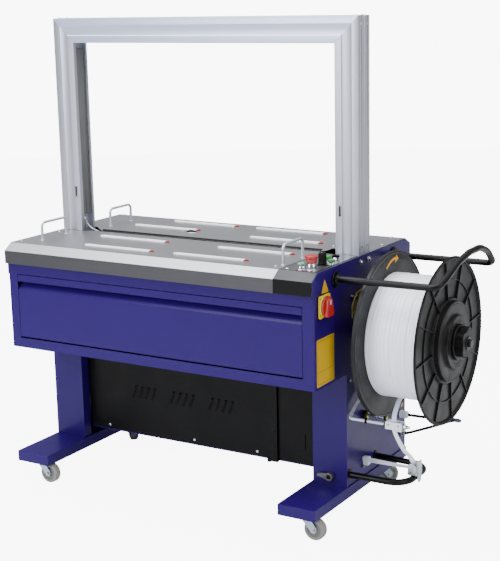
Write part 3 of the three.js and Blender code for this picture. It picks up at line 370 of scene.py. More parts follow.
class Solid:
    """Points and faces in layout millimetres; each method returns a solid to chain on."""

    def __init__(self, verts=(), faces=()):
        self.verts = list(verts)
        self.faces = list(faces)

    def add(self, verts, faces):
        start = len(self.verts)
        self.verts += [tuple(v) for v in verts]
        self.faces += [[i + start for i in face] for face in faces]
        return self

    def moved(self, move):
        return Solid([tuple(move(Vector(v))) for v in self.verts], self.faces)

    def turned(self, degrees):
        """Copy turned about the reel axle."""
        turn, centre = Matrix.Rotation(rad(degrees), 3, "X"), Vector(AXLE)
        return self.moved(lambda p: turn @ (p - centre) + centre)

    def spokes(self, part, first_angle, count):
        """Add copies of a part evenly about the reel axle."""
        for i in range(count):
            spoke = part.turned(first_angle + 360 / count * i)
            self.add(spoke.verts, spoke.faces)
        return self

    def between(self, first, last):
        """Closed body between two matching outlines."""
        return self.add(first + last, end_faces(2, len(first)) + skin(2, len(first)))

    def prism(self, axis, outline, start, end):
        """Outline swept along an axis: (y, z) for x, (x, z) for y, (x, y) for z."""
        at = "xyz".index(axis)
        return self.between(*([(*p[:at], w, *p[at:]) for p in outline] for w in (start, end)))

    def block(self, x0, x1, y0, y1, z0, z1):
        return self.prism("z", [(x0, y0), (x1, y0), (x1, y1), (x0, y1)], z0, z1)

    def lathe(self, centre, axis, profile, count=48, scale=None):
        """Turned body; profile: (radius, position along axis), a loop if first equals last."""
        d, u, w = axes_for(axis)
        c = Vector(centre)
        closed = profile[0] == profile[-1]
        rings, verts, faces = [], [], []
        for radius, along in profile[:-1] if closed else profile:
            start = len(verts)
            if radius < 1e-6:
                verts.append(c + d * along)
            else:
                for i in range(count):
                    q = 2 * math.pi * i / count
                    r = radius * (scale(i) if scale else 1)
                    verts.append(c + d * along + u * (r * math.cos(q)) + w * (r * math.sin(q)))
            rings.append(range(start, len(verts)))
        for a, b in zip(rings, rings[1:] + (rings[:1] if closed else [])):
            for i in range(count):
                j = (i + 1) % count
                if len(a) == 1:
                    faces.append([a[0], b[j], b[i]])
                elif len(b) == 1:
                    faces.append([a[i], a[j], b[0]])
                else:
                    faces.append([a[i], a[j], b[j], b[i]])
        return self.add(verts, faces)

    def tube(self, path, radius, count=16, cap=0.0):
        """Round bar along a path, its ends chamfered by cap."""
        path = [Vector(p) for p in path]
        along = tangents(path)
        sides = [axes_for(along[0])[1]]
        for before, t in zip(along, along[1:]):
            side = before.rotation_difference(t) @ sides[-1]
            sides.append((side - t * side.dot(t)).normalized())
        rows = [(p, t, u, radius) for p, t, u in zip(path, along, sides)]
        if cap:
            p, t, u, r = rows[0]
            rows[:1] = [(p, t, u, r - cap), (p + t * cap, t, u, r)]
            p, t, u, r = rows[-1]
            rows[-1:] = [(p - t * cap, t, u, r), (p, t, u, r - cap)]
        verts = []
        for p, t, u, r in rows:
            v = t.cross(u)
            for i in range(count):
                q = 2 * math.pi * i / count
                verts.append(p + u * (r * math.cos(q)) + v * (r * math.sin(q)))
        return self.add(verts, skin(len(rows), count) + end_faces(len(rows), count))

    def ribbon(self, path, across, width, thick):
        """Flat strap along a path; across holds the width direction at each point."""
        w, t = width / 2, thick / 2
        bevel = w - thick * 0.4
        section = [(-w, 0), (-bevel, -t), (bevel, -t), (w, 0), (bevel, t), (-bevel, t)]
        verts = []
        for p, tangent, u in zip(path, tangents(path), across):
            u = (u - tangent * u.dot(tangent)).normalized()
            normal = tangent.cross(u).normalized()
            verts += [p + u * a + normal * b for a, b in section]
        rows, count = len(path), len(section)
        return self.add(verts, skin(rows, count) + end_faces(rows, count))

    def heads(self, kind, r, h, axis, points, count=20):
        """Screw heads of radius r and height h looking along axis: pan, dome or hex."""
        for p in points:
            if kind == "pan":
                self.lathe(p, axis, [(0, -0.5), (r, -0.5), (r, h * 0.35), (r * 0.86, h * 0.75),
                                     (r * 0.55, h), (r * 0.3, h), (r * 0.28, h * 0.45),
                                     (0, h * 0.45)], count)
            elif kind == "dome":
                self.lathe(p, axis, [(0, -0.5), (r, -0.5), (r, h * 0.2), (r * 0.9, h * 0.6),
                                     (r * 0.62, h * 0.9), (r * 0.3, h), (0, h * 1.02)], count)
            else:
                self.lathe(p, axis, [(0, -0.5), (r * 1.25, -0.5), (r * 1.25, h * 0.22),
                                     (0, h * 0.22)], count)
                self.lathe(p, axis, [(0, h * 0.2), (r, h * 0.2), (r, h * 0.85), (r * 0.86, h),
                                     (0, h)], 6)
                self.lathe(p, axis, [(0, h * 0.9), (r * 0.5, h * 0.9), (r * 0.5, h * 1.35),
                                     (r * 0.42, h * 1.45), (0, h * 1.45)], 12)
        return self


def ease_edges(obj, width, segments, angle):
    mod = obj.modifiers.new("edge", "BEVEL")
    mod.limit_method = "ANGLE"
    mod.angle_limit = rad(angle)
    mod.width = width * MM
    mod.segments = segments
    mod.harden_normals = True
    mod.use_clamp_overlap = True


def make(name, solid, mats, body="root", bevel=0.0, segments=2, sharp=38, replaces=None):
    """Object from a solid; it rides on body and may replace a CAD piece."""
    data = bpy.data.meshes.new(name)
    data.from_pydata([to_scene(*v) for v in solid.verts], [], solid.faces)
    for mat in mats if isinstance(mats, list) else [mats]:
        data.materials.append(mat)
    bm = bmesh.new()
    bm.from_mesh(data)
    bmesh.ops.remove_doubles(bm, verts=bm.verts, dist=1e-7)
    bmesh.ops.recalc_face_normals(bm, faces=bm.faces)
    bm.to_mesh(data)
    bm.free()
    data.shade_smooth()
    data.set_sharp_from_angle(angle=rad(sharp))
    obj = bpy.data.objects.new(name, data)
    bpy.context.scene.collection.objects.link(obj)
    if bevel:
        ease_edges(obj, bevel, segments, angle=32)
    if body:
        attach(obj, body)
    if replaces:
        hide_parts(replaces)
    return obj


# ------------------------------------------------------------------ CAD pieces kept as they are
def dress(node, mat, bevel, segments=2):
    """Give a CAD node its finish, clean shading and eased edges."""
    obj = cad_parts[node]
    data = obj.data
    data.materials.clear()
    data.materials.append(mat)
    if "custom_normal" in data.attributes:
        data.attributes.remove(data.attributes["custom_normal"])
    obj.modifiers.new("weld", "WELD").merge_threshold = 2e-6
    planar = obj.modifiers.new("planar", "DECIMATE")
    planar.decimate_type = "DISSOLVE"
    planar.angle_limit = rad(0.6)
    data.shade_smooth()
    data.set_sharp_from_angle(angle=rad(35))
    if bevel:
        ease_edges(obj, bevel, segments, angle=30)


# node, material, bevel width, bevel segments
for row in (
    ("left_leg_frame", BLUE, 1.1, 3), ("right_leg_frame", BLUE, 1.1, 3),
    ("base_tray", BLUE, 1.1, 3), ("main_housing", BLUE, 1.1, 3),
    ("right_side_panel", BLUE, 1.2, 3), ("front_door", BLUE, 0.9, 3),
    ("lower_cabinet", BLACK_SHEET, 0.9), ("louvred_cover", BLACK_SHEET, 0.7),
    ("right_cover", BLACK_SHEET, 0.7), ("table_top_front", STEEL, 0.9, 3),
    ("table_top_rear", STEEL, 0.9, 3), ("strap_chute", STEEL, 0.0),
    ("track_flap_left", FLAP_GREY, 0.8), ("track_flap_right", FLAP_GREY, 0.8),
    ("track_flap_top", FLAP_GREY, 0.8), ("door_hinge_pin", ZINC, 0.5, 1),
    ("brake_lever", GOLD, 0.7), ("sealing_head", CAST, 1.0), ("cam_shaft", ZINC, 0.5),
    ("feed_roller", NYLON, 0.5), ("press_slide", ZINC, 0.6), ("drive_motor", MOTOR, 1.2),
):
    dress(*row)

# ------------------------------------------------------------------ arch of extruded profiles
ARCH_X = 463.0           # middle to the inner face of an upright
PROFILE_WIDTH = 76.5
ARCH_Z = 1368.0          # underside of the cross profiles
ARCH_FOOT_Z = 706.0
MITRE_GAP = 0.2
ARCH_END_X = ARCH_X + PROFILE_WIDTH

# section of the front profile: (distance out from the opening, y)
PROFILE = [
    (0.0, 277.6), (0.9, 276.3), (2.0, 276.0), (21.6, 276.0), (22.6, 276.5), (24.2, 278.0),
    (25.0, 278.3), (51.6, 278.3), (52.4, 278.0), (54.0, 276.5), (55.0, 276.0), (73.9, 276.0),
    (75.6, 276.6), (76.5, 278.4), (76.5, 283.2), (75.7, 284.0), (75.7, 286.6), (76.5, 287.4),
    (76.5, 300.4), (75.7, 301.2), (75.7, 303.6), (76.5, 304.4), (76.5, 309.9), (75.4, 311.0),
    (13.0, 311.0)]


def profile_section(end):
    """The rear profile mirrors the front one, with a shorter inner lip."""
    lip_y = 290.6 if end == "front" else 287.6
    section = [(0.0, lip_y)] + PROFILE + [(13.0, lip_y)]
    return section if end == "front" else [(u, 2 * MID_Y - y) for u, y in section]


for side, tag in ((-1, "left"), (1, "right")):
    for end in ENDS:
        section = profile_section(end)
        make(f"profile_{tag}_{end}", Solid().between(
            [(side * (ARCH_X + u), y, ARCH_FOOT_Z) for u, y in section],
            [(side * (ARCH_X + u), y, ARCH_Z + u - MITRE_GAP) for u, y in section]),
            ALU_UPRIGHT, replaces=f"column_{tag}_{end}", sharp=22)
for end in ENDS:
    left, right = ([(side * (ARCH_X + u - MITRE_GAP), y, ARCH_Z + u)
                    for u, y in profile_section(end)] for side in (-1, 1))
    make("profile_top_" + end, Solid().between(left, right), ALU_CROSS_PAINTED_LIGHT,
         replaces="arch_top_" + end, sharp=22)

# dark block filling the gap between the front and rear profiles: painted shade in the joint
joint_y = MID_Y - 0.85, MID_Y + 0.85
joint_shade = Solid()
for side in (-1, 1):
    x0, x1 = sorted((side * (ARCH_X + 14), side * (ARCH_END_X - 3.2)))
    joint_shade.block(x0, x1, *joint_y, ARCH_FOOT_Z + 2, ARCH_Z + 70)
joint_shade.block(-ARCH_X - 60, ARCH_X + 60, *joint_y, ARCH_Z + 15, ARCH_Z + PROFILE_WIDTH - 3.2)
make("arch_joint_painted_shade", joint_shade, DARK)

SCREW_YS = (293.5, 331.0)
screws = Solid()
for side in (-1, 1):
    screws.heads("dome", 3.9, 2.6, (side, 0, 0),
                 [(side * ARCH_END_X, y, z) for y in SCREW_YS for z in (1421.0, 794.0)], 16)
    screws.heads("dome", 3.9, 2.4, UP, [(side * (ARCH_END_X - 14), y, ARCH_Z + PROFILE_WIDTH)
                                        for y in SCREW_YS], 16)
make("arch_screws", screws, SCREW, sharp=40)

# keyhole slots with bright rims near the foot of the uprights; the slots are flat dark patches,
# painted shade
SLOT_Z0, SLOT_Z1 = 880.5, 909.0
PROFILE_FRONT_Y = 276.0
rims, slots = Solid(), Solid()
for side in (-1, 1):
    x = side * (ARCH_X + 15.5)
    rims.prism("y", round_rect(x - 5.6, x + 5.6, SLOT_Z0 - 5, SLOT_Z1 + 5, 5.4, 6),
               275.72, PROFILE_FRONT_Y + 0.2)
    slots.prism("y", round_rect(x - 2.6, x + 2.6, SLOT_Z0, SLOT_Z1, 2.5, 5),
                275.6, PROFILE_FRONT_Y)
    z = SLOT_Z1 - 1.5 if side < 0 else SLOT_Z0 + 1.5
    slots.prism("y", [around(x, z, 3.6, rad(360 * i / 16)) for i in range(16)],
                275.6, PROFILE_FRONT_Y)
make("arch_slot_rims", rims, SCREW, bevel=0.2)
make("arch_slot_painted_shade", slots, DARK)

# ------------------------------------------------------------------ table details
# slide strips, white with a red tip at the right end: (left x, right x, middle y)
STRIPS = {
    "front": [(-344, -78, 218), (-296, -37, 76), (30, 290, 79), (98, 364, 215)],
    "rear": [(-363, -103, 431), (-282, -27, 543), (37, 298, 542), (100, 359, 399)]}
STRIP_HALF, STRIP_HEIGHT, TIP = 7.0, 4.0, 15.0


def slide_strips(end):
    strips, tips, rivets = Solid(), Solid(), Solid()
    w = STRIP_HALF
    for x0, x1, y in STRIPS[end]:
        strips.prism("z", rounded([
            (x0, y), (x0 + 9, y - w), (x1 - TIP, y - w), (x1 - TIP, y + w), (x0 + 9, y + w)],
            [1.5, 4, 0.4, 0.4, 4], 3), TABLE_Z + 0.05, TABLE_Z + STRIP_HEIGHT)
        tips.prism("z", rounded([
            (x1 - TIP + 0.2, y - w), (x1 - 3, y - 2.4), (x1, y), (x1 - 3, y + 2.4),
            (x1 - TIP + 0.2, y + w)], [0.4, 2, 1.2, 2, 0.4], 3),
            TABLE_Z + 0.05, TABLE_Z + STRIP_HEIGHT - 0.5)
        rivets.heads("dome", 2.4, 0.7, UP, [(x, y, TABLE_Z + STRIP_HEIGHT - 0.1)
                                            for x in (x0 + 26, (x0 + x1) / 2, x1 - 34)], 12)
    body = end + "_table"
    make("slide_strips_" + end, strips, STRIP_WHITE, body, bevel=1.3, segments=3)
    make("slide_strip_tips_" + end, tips, RED, body, bevel=1.1, segments=3)
    make("slide_strip_rivets_" + end, rivets, STRIP_WHITE, body, sharp=50)


for end in ENDS:
    slide_strips(end)

for end, places in (
        ("front", ((-531, 56), (-522, 233), (393, 53))),
        ("rear", ((-516, 578), (404, 381), (526, 457), (-522, 400), (500, 578)))):
    make("table_screws_" + end,
         Solid().heads("dome", 6.2, 3.4, UP, [(x, y, TABLE_Z) for x, y in places]),
         SCREW, end + "_table", sharp=45)

# oval dome on the rear table: round profiles stretched along x, squeezed along y
for name, mat, sharp, profile in (
        ("oval_dome_cap", BAKELITE, 50, [
            (0, 0), (15, 0), (15, 1.4), (13.6, 3.0), (10.5, 5.2), (6, 7.0), (0, 7.8)]),
        ("oval_dome_bezel", CHROME, 40, [
            (15.4, 0), (18, 0), (18, 0.9), (17.2, 1.5), (15.4, 1.5), (15.4, 0)])):
    dome = Solid().lathe((0, 0, 0), UP, profile, 32)
    make(name, dome.moved(lambda p: Vector((p.x * 1.25 - 118, p.y * 0.8 + 399,
                                            p.z + TABLE_Z + 0.05))),
         mat, "rear_table", sharp=sharp)

# painted shade on the walls of the strap slot between the two table tops, as dark sheets, and the
# slot's edge rubber
make("slot_wall_painted_shade", Solid().block(-392, 404, 289.2, 291.8, 742, 766.4)
     .block(-392, 404, 297.2, 299.8, 742, 766.4), DARK, bevel=0.4)
make("slot_edge_rubber", Solid().prism("x", rounded(
    [(301.4, 768.04), (313.0, 768.04), (312.0, 770.4), (305.5, 773.0), (301.4, 773.2)],
    [0.3, 0.4, 0.8, 0.8, 0.8], 3), -398, 402), DARK, "rear_table", sharp=35)


def wire_handle(name, x, y0, y1, height, body):
    """Wire loop standing on the table, with a foot ring at each end."""
    z0, z1 = TABLE_Z + 0.2, TABLE_Z + height
    solid = Solid().tube(bent_path([(x, y0, z0), (x, y0, z1), (x, y1, z1), (x, y1, z0)], 15, 8),
                         4.3, 20)
    for y in (y0, y1):
        solid.lathe((x, y, TABLE_Z + 0.05), UP, [(4.2, 0), (7.4, 0), (7.4, 1.1), (6.6, 1.9),
                                                 (4.2, 1.9), (4.2, 0)], 24)
    make("wire_" + name, solid, ROD, body, replaces=name, sharp=40)


wire_handle("handle_front_left", -470, 86, 205, 55, "front_table")
wire_handle("handle_front_right", 405, 73, 186, 58, "front_table")
wire_handle("handle_rear_left", -425, 380, 494, 57, "rear_table")
wire_handle("handle_rear_right", 450, 400, 515, 57, "rear_table")

# ------------------------------------------------------------------ control box
BOX_X0, BOX_X1 = 420.0, 539.8
BOX_FRONT, BOX_REAR, BOX_FOOT = -12.5, 274.0, 706.6
SLOPE_Y, SLOPE_Z = 20.0, 746.5       # rear edge and lower edge of the front slope
SEAT_Z = TABLE_Z + 0.9               # seat of the controls on the top plate


def control_box():
    """One folded sheet over front, slope and top, with a cheek at each side."""
    solid = Solid().prism("x", folded_sheet([
        (BOX_FRONT + 12, BOX_FOOT), (BOX_FRONT, BOX_FOOT), (BOX_FRONT, SLOPE_Z),
        (SLOPE_Y, TABLE_Z), (BOX_REAR, TABLE_Z), (BOX_REAR, BOX_FOOT)],
        thickness=-2.0, radius=2.2, steps=5), BOX_X0, BOX_X1)
    cheek = rounded([
        (BOX_FRONT + 2.2, BOX_FOOT + 1), (BOX_FRONT + 2.2, SLOPE_Z - 0.8),
        (SLOPE_Y + 0.8, TABLE_Z - 2.2), (BOX_REAR - 2.2, TABLE_Z - 2.2),
        (BOX_REAR - 2.2, BOX_FOOT + 1)], 1.2, 3)
    solid.prism("x", cheek, BOX_X0 + 0.3, BOX_X0 + 2.3)
    solid.prism("x", cheek, BOX_X1 - 2.6, BOX_X1 - 0.6)
    cover = make("control_box_cover", solid, [PANEL_TOP, PANEL_SLOPE, PANEL_BLACK],
                 replaces="control_box", bevel=0.35, sharp=30)
    _, front_limit, front_top = to_scene(0, BOX_FRONT + 14, SLOPE_Z + 0.6)
    slope_limit = to_scene(0, SLOPE_Y + 1.0, 0)[1]
    for face in cover.data.polygons:
        if face.center.z < front_top and face.center.y < front_limit:
            face.material_index = 2
        elif face.center.y < slope_limit:
            face.material_index = 1


control_box()
# top plate with a dark frame around it, and a strip in front of the emergency stop
make("control_plate_frame", Solid().block(BOX_X0 + 2, BOX_X1 - 2, SLOPE_Y + 4, BOX_REAR - 3,
                                          TABLE_Z + 0.02, TABLE_Z + 0.55),
     PANEL_BLACK, bevel=0.2)
make("control_plate", Solid().block(BOX_X0 + 6, BOX_X1 - 6, SLOPE_Y + 8, BOX_REAR - 7,
                                    TABLE_Z + 0.5, TABLE_Z + 1.05), PANEL_TOP, bevel=0.2)
make("control_plate_strip", Solid().prism("z", round_rect(470, 522, 22.2, 29.0, 2.5, 4),
                                          TABLE_Z + 0.5, TABLE_Z + 1.5), DARK_RED, bevel=0.3)

# places of the controls (x, y)
ESTOP, START, FEED, REVERSE = (511, 43), (483, 38), (497, 162), (519, 141)
SPEED, WING = (507, 114), (498, 208)

collars = Solid()
for place, r, h in ((ESTOP, 14, 21), (START, 11, 12.5), (FEED, 11.4, 8), (REVERSE, 9.4, 4)):
    collars.lathe((*place, SEAT_Z), UP, [
        (r * 0.6, 0), (r + 2.2, 0), (r + 2.2, 1.6), (r + 1.2, 2.4), (r, 2.6), (r, h - 2.4),
        (r - 0.8, h - 1.2), (r * 0.72, h - 1.0), (r * 0.6, h - 1.8), (r * 0.6, 0)], 40)
make("button_collars", collars, CHROME, sharp=35)
make("speed_knob_washer", Solid().lathe((*SPEED, SEAT_Z), UP, [
    (4.2, 0), (15, 0), (15, 1.4), (14, 2.6), (4.2, 2.6), (4.2, 0)], 40), BAKELITE, sharp=35)

# name, material, body, replaced piece, place, facets, profile of (radius, z)
for name, mat, body, piece, place, count, profile in (
    ("emergency_stop", RED, "estop", "estop_button", ESTOP, 48, [
        (0, 757), (7, 757), (7, 789), (14.0, 790.4), (15.2, 792), (16.0, 801.5),
        (17.6, 803.4), (18.6, 805.0), (18.8, 807.4), (18.0, 809.4), (15.2, 811.0),
        (10.0, 812.0), (4.6, 812.5), (0, 812.7)]),
    ("start_button_cap", MINT, "start", "start_button", START, 40, [
        (0, 758), (6, 758), (6, 784), (10.9, 784.2), (11.9, 785.2), (11.9, 787.0),
        (10.8, 788.4), (8.2, 789.2), (7.6, 788.7), (0, 788.9)]),
    ("feed_button_cap", GREEN, "feed", "feed_button", FEED, 40, [
        (0, 758), (6, 758), (6, 780.2), (10, 780.4), (10.7, 781.4), (10.7, 785.8),
        (9.6, 787.4), (7.4, 788.0), (0, 788.3)]),
    ("reverse_button_cap", GREEN, "reverse", "reverse_button", REVERSE, 40, [
        (0, 758), (5, 758), (5, 776.2), (8, 776.3), (8.7, 777.2), (8.7, 780.4),
        (7.8, 781.6), (0, 782.2)]),
):
    make(name, Solid().lathe((*place, 0), UP, profile, count), mat, body, replaces=piece,
         sharp=30)

# serrated speed knob with a pointer line
make("speed_knob_body", Solid().lathe((*SPEED, 0), UP, [
    (0, 757), (3.5, 757), (3.5, 773), (11.4, 773.0), (12.6, 774.0), (12.6, 777.0),
    (11.6, 778.2), (11.3, 800.0), (10.6, 803.6), (9.4, 805.4), (7.6, 806.0), (7.2, 805.2),
    (0, 805.2)], 72, scale=lambda i: 0.955 if i % 4 in (0, 1) else 1.0),
    BAKELITE, "speed", replaces="speed_knob", sharp=24)
make("speed_knob_line", Solid().block(506.4, 507.6, 107.4, 112.6, 805.0, 806.0),
     NYLON, "speed", bevel=0.15)

# three-winged knob and dome nuts
knob = Solid().lathe((*WING, SEAT_Z), UP, [
    (0, 0), (9, 0), (9, 3), (6, 4.5), (5, 8), (5.4, 11), (4, 13), (0, 13.6)], 28)
for degrees in (20, 140, 260):
    # wing corners: (radius, angle from the wing's middle)
    corners = [around(*WING, r, rad(degrees) + offset)
               for r, offset in ((3, 1.2), (3, -1.2), (13, -0.25), (13, 0.25))]
    knob.prism("z", rounded(corners, [0.5, 0.5, 2.4, 2.4], 3), TABLE_Z + 5.5, TABLE_Z + 12.5)
make("wing_knob", knob, BAKELITE, bevel=0.8, sharp=35)
nuts = Solid().lathe((511, 181, SEAT_Z), UP, [(0, 0), (9, 0), (9, 1.4), (0, 1.4)], 28)
nuts.lathe((511, 181, TABLE_Z + 2.2), UP, [
    (0, 0), (7.4, 0), (7.4, 3.4), (6.6, 6.0), (4.6, 8.0), (2, 9.0), (0, 9.2)], 28)
for y in (250, 34):
    nuts.lathe((440, y, SEAT_Z), UP, [(0, 0), (5, 0), (5, 1.2), (3.6, 2.6), (0, 3.2)], 20)
make("dome_nuts", nuts, CHROME, sharp=35)

# ------------------------------------------------------------------ main switch, on the right
SWITCH = SX, SY, SZ = 543.3, 46.0, 671.5
# rubber gasket behind the plate, reaching further below it than above as a painted shadow under
# the switch
make("main_switch_gasket_and_painted_shadow", Solid().prism(
    "x", round_rect(SY - 32.5, SY + 32.5, SZ - 35, SZ + 32, 5, 5), SX + 0.05, SX + 2.2),
    RUBBER, bevel=0.5)
make("main_switch_plate", Solid().prism(
    "x", round_rect(SY - 31.5, SY + 31.5, SZ - 31.5, SZ + 31.5, 6, 6), SX + 2.2, SX + 7.0)
    .lathe(SWITCH, RIGHT, [(0, 6), (31, 6), (31, 8.6), (30.4, 9.7), (29.4, 10.0), (28.6, 9.4),
                           (28.4, 7.4), (0, 7.4)], 64),
    YELLOW, replaces="main_switch_base", bevel=0.9, segments=3, sharp=32)
marks = Solid()
for z in (SZ - 21, SZ + 25):
    marks.prism("x", round_rect(SY - 29.5, SY - 25, z - 1.8, z + 1.8, 1.5, 3),
                SX + 6.9, SX + 7.4)
make("main_switch_key_slots", marks, DARK_RED)
disc = [around(SY, SZ, 28.6, rad(a)) for a in range(-36, 217, 6)]
disc += [(SY - 14, SZ - 28.6), (SY + 14, SZ - 28.6)]
grip = rounded([(SY - 22, SZ - 27.5), (SY + 22, SZ - 27.5), (SY + 13, SZ + 18),
                (SY + 7, SZ + 25), (SY - 7, SZ + 25), (SY - 13, SZ + 18)], [5, 5, 6, 5, 5, 6])
make("main_switch_handle", Solid().prism("x", rounded(disc, 1.2, 2), SX + 10.5, SX + 15.5)
     .prism("x", grip, SX + 15.0, SX + 24.5)
     .lathe(SWITCH, RIGHT, [(0, 6.5), (6, 6.5), (6, 11), (0, 11)], 24),
     RED, "main_switch", replaces="main_switch_knob", bevel=1.6, segments=3, sharp=35)
make("main_switch_pointer", Solid().prism(
    "x", round_rect(SY - 1.6, SY + 1.6, SZ + 6, SZ + 20, 1.2, 3), SX + 24.3, SX + 24.9),
    NYLON, "main_switch")

# ------------------------------------------------------------------ reel
# profiles are (radius, x); the inner flange is the one next to the machine
REEL_Y, REEL_Z = MID_Y, 540.0
AXLE = (0, REEL_Y, REEL_Z)
FACETS = 128
BORE = 12.7
RIB_COUNT, RIB_START, RIB_HALF = 12, 6.7, 1.3      # count, first angle, half thickness

profile = [(0, 543.35), (42.8, 543.35), (44, 544.4), (44, 548.6), (42.6, 550), (20, 550),
           (18, 552), (18, 582.8), (17, 584), (12, 584), (12, 842)]
for i in range(16):     # thread at the right end
    x = 842.0 + 1.75 * i
    profile += [(12, x + 0.3), (11.1, x + 0.9), (12, x + 1.5)]
profile += [(11.2, 871.4), (9.6, 872.8), (0, 872.8)]
make("reel_axle_shaft", Solid().lathe(AXLE, RIGHT, profile, 48), BLACK_OXIDE,
     replaces="reel_axle", sharp=30)
make("axle_boss_bolts", Solid().heads("hex", 5.2, 4.6, RIGHT, [
    (550, *around(REEL_Y, REEL_Z, 32, rad(a))) for a in (45, 135, 225, 315)]), SCREW, sharp=30)

# inner flange with its drum and core
flange = Solid().lathe(AXLE, RIGHT, [
    (BORE, 586), (118.4, 586), (120, 587.6), (120, 619), (122, 621), (231, 621),
    (233.4, 619), (234.4, 615.4), (235.4, 614.9), (239.6, 614.9), (241, 616.2),
    (241, 626.2), (239.8, 627.4), (236.4, 627.4), (235.0, 626.2), (233.6, 625.9),
    (226.4, 625.9), (225.8, 625.4), (225.0, 625.4), (224.4, 625.9), (99, 625.9),
    (99, 796.2), (95, 796.2), (95, 624), (36, 624), (36, 759.4), (34.8, 760), (BORE, 760),
    (BORE, 586)], FACETS)
flange.spokes(Solid().block(616.6, 621.4, REEL_Y + 121, REEL_Y + 236,
                            REEL_Z - RIB_HALF, REEL_Z + RIB_HALF), RIB_START, RIB_COUNT)
flange.lathe(AXLE, RIGHT, [(172.8, 617.2), (175.2, 617.2), (175.2, 621.4), (172.8, 621.4),
                           (172.8, 617.2)], FACETS)
flange.spokes(Solid().block(624, 700, REEL_Y + 35.5, REEL_Y + 96, REEL_Z - 1.4, REEL_Z + 1.4),
              22, 8)
make("flange_inner", flange, REEL_BLACK, "reel", replaces="reel_inner_flange", sharp=26)


def direction_arrow():
    """Curved, widening arrow printed on the right face of the inner flange."""
    path = catmull([(626, 277.1, 738.0), (626, 289.2, 746.8), (626, 303.6, 753.4),
                    (626, 320.5, 758.1), (626, 337, 759.2)], 6)
    upper, lower = [], []
    for i, (p, t) in enumerate(zip(path, tangents(path))):
        half = 2.7 + 1.1 * i / (len(path) - 1)
        upper.append((p.y - t.z * half, p.z + t.y * half))
        lower.append((p.y + t.z * half, p.z - t.y * half))
    k = len(path)
    x0, x1 = 625.95, 626.25
    verts = [(x, *p) for x in (x0, x1) for edge in (upper, lower) for p in edge]
    # right face, upper edge, lower edge, two ends, left face
    faces = [[2 * k + i, 2 * k + i + 1, 3 * k + i + 1, 3 * k + i] for i in range(k - 1)]
    faces += [[i, i + 1, 2 * k + i + 1, 2 * k + i] for i in range(k - 1)]
    faces += [[k + i, k + i + 1, 3 * k + i + 1, 3 * k + i] for i in range(k - 1)]
    faces += [[0, k, 3 * k, 2 * k], [k - 1, 2 * k - 1, 4 * k - 1, 3 * k - 1]]
    faces += [[i, i + 1, k + i + 1, k + i] for i in range(k - 1)]
    head = [(341.4, 768.4), (356.5, 754.8), (333.5, 745.6)]
    make("direction_arrow", Solid().add(verts, faces).prism("x", head, x0, 626.28),
         ORANGE, "reel")


direction_arrow()


def wound_strap():
    """Bands side by side, each a little different in height and slightly wandering."""
    x0, x1 = 626.9, 796.0
    core_radius, outer_radius = 99.7, 180
    heights = [0.0, -0.5, -0.2, -0.9, -0.1, -0.4, -1.0, -0.2, -0.5, 0.0, -0.8, -0.3, -0.6, -0.1]
    bands, steps = len(heights), 168

    def seam(b, q):
        x = x0 + (x1 - x0) * b / bands
        if 0 < b < bands:
            x += 1.5 * math.sin(q + b * 1.7) + 0.6 * math.sin(2 * q + b)
        return x

    verts = []
    for a in range(steps):
        q = 2 * math.pi * a / steps
        line = []       # (radius, x)
        for b, height in enumerate(heights):
            e0, e1 = seam(b, q), seam(b + 1, q)
            h = height + 0.25 * math.sin(3 * q + b * 2.1)
            groove = 179.2 + h * 0.6 - 0.5
            top = outer_radius + h
            line += [(groove, e0), (top - 0.22, e0 + 0.25), (top, e0 + 0.9),
                     (top, e1 - 0.9), (top - 0.22, e1 - 0.25), (groove, e1)]
        line += [(core_radius, x1), (core_radius, x0)]
        verts += [(x, *around(REEL_Y, REEL_Z, r, q)) for r, x in line]
    faces = [[v % len(verts) for v in face] for face in skin(steps + 1, len(line))]
    make("wound_strap", Solid().add(verts, faces), STRAP, "reel", replaces="strap_coil",
         sharp=30)


wound_strap()

# outer flange: rim, thin web with ribs, raised hub
flange = Solid().lathe(AXLE, RIGHT, [
    (BORE, 797.1), (231, 797.1), (239.6, 800.4), (241, 801.8), (241, 804.6), (239.6, 806),
    (234.6, 806), (233, 804.8), (231.2, 800.2), (130.2, 800.2), (124.6, 800.2),
    (122.6, 806.6), (121, 808), (116.2, 808), (115.6, 819.6), (114.0, 821.2), (111, 821.2),
    (110, 820.4), (108.6, 820.4), (107.8, 821.2), (82, 821.2), (80.4, 820), (78.6, 820),
    (77.6, 821), (76.4, 829.8), (75, 831), (62, 831), (61, 830.2), (59.4, 830.2),
    (58.6, 831), (BORE, 831), (BORE, 797.1)], FACETS)
flange.spokes(Solid().prism("z", [
    (799.8, REEL_Y + 121), (807.6, REEL_Y + 121), (806.2, REEL_Y + 140),
    (804.8, REEL_Y + 232.5), (799.8, REEL_Y + 232.5)], REEL_Z - RIB_HALF, REEL_Z + RIB_HALF),
    RIB_START, RIB_COUNT)
flange.lathe(AXLE, RIGHT, [(173.8, 799.8), (176.2, 799.8), (176.1, 803.8), (173.9, 803.8),
                           (173.8, 799.8)], FACETS)
make("flange_outer", flange, REEL_BLACK, "reel", replaces="reel_outer_flange", sharp=26)
make("flange_outer_rim", Solid().lathe(AXLE, RIGHT, [
    (234.8, 806.0), (240.4, 806.0), (240.2, 806.7), (235.2, 806.7), (234.8, 806.0)], FACETS)
    .lathe(AXLE, RIGHT, [(240.9, 801.8), (241.6, 802.4), (241.6, 804.2), (240.9, 804.6),
                         (240.9, 801.8)], FACETS), RIM_BLACK, "reel", sharp=40)
# dark ovals on the hub stand for its holes: painted shade
holes = Solid()
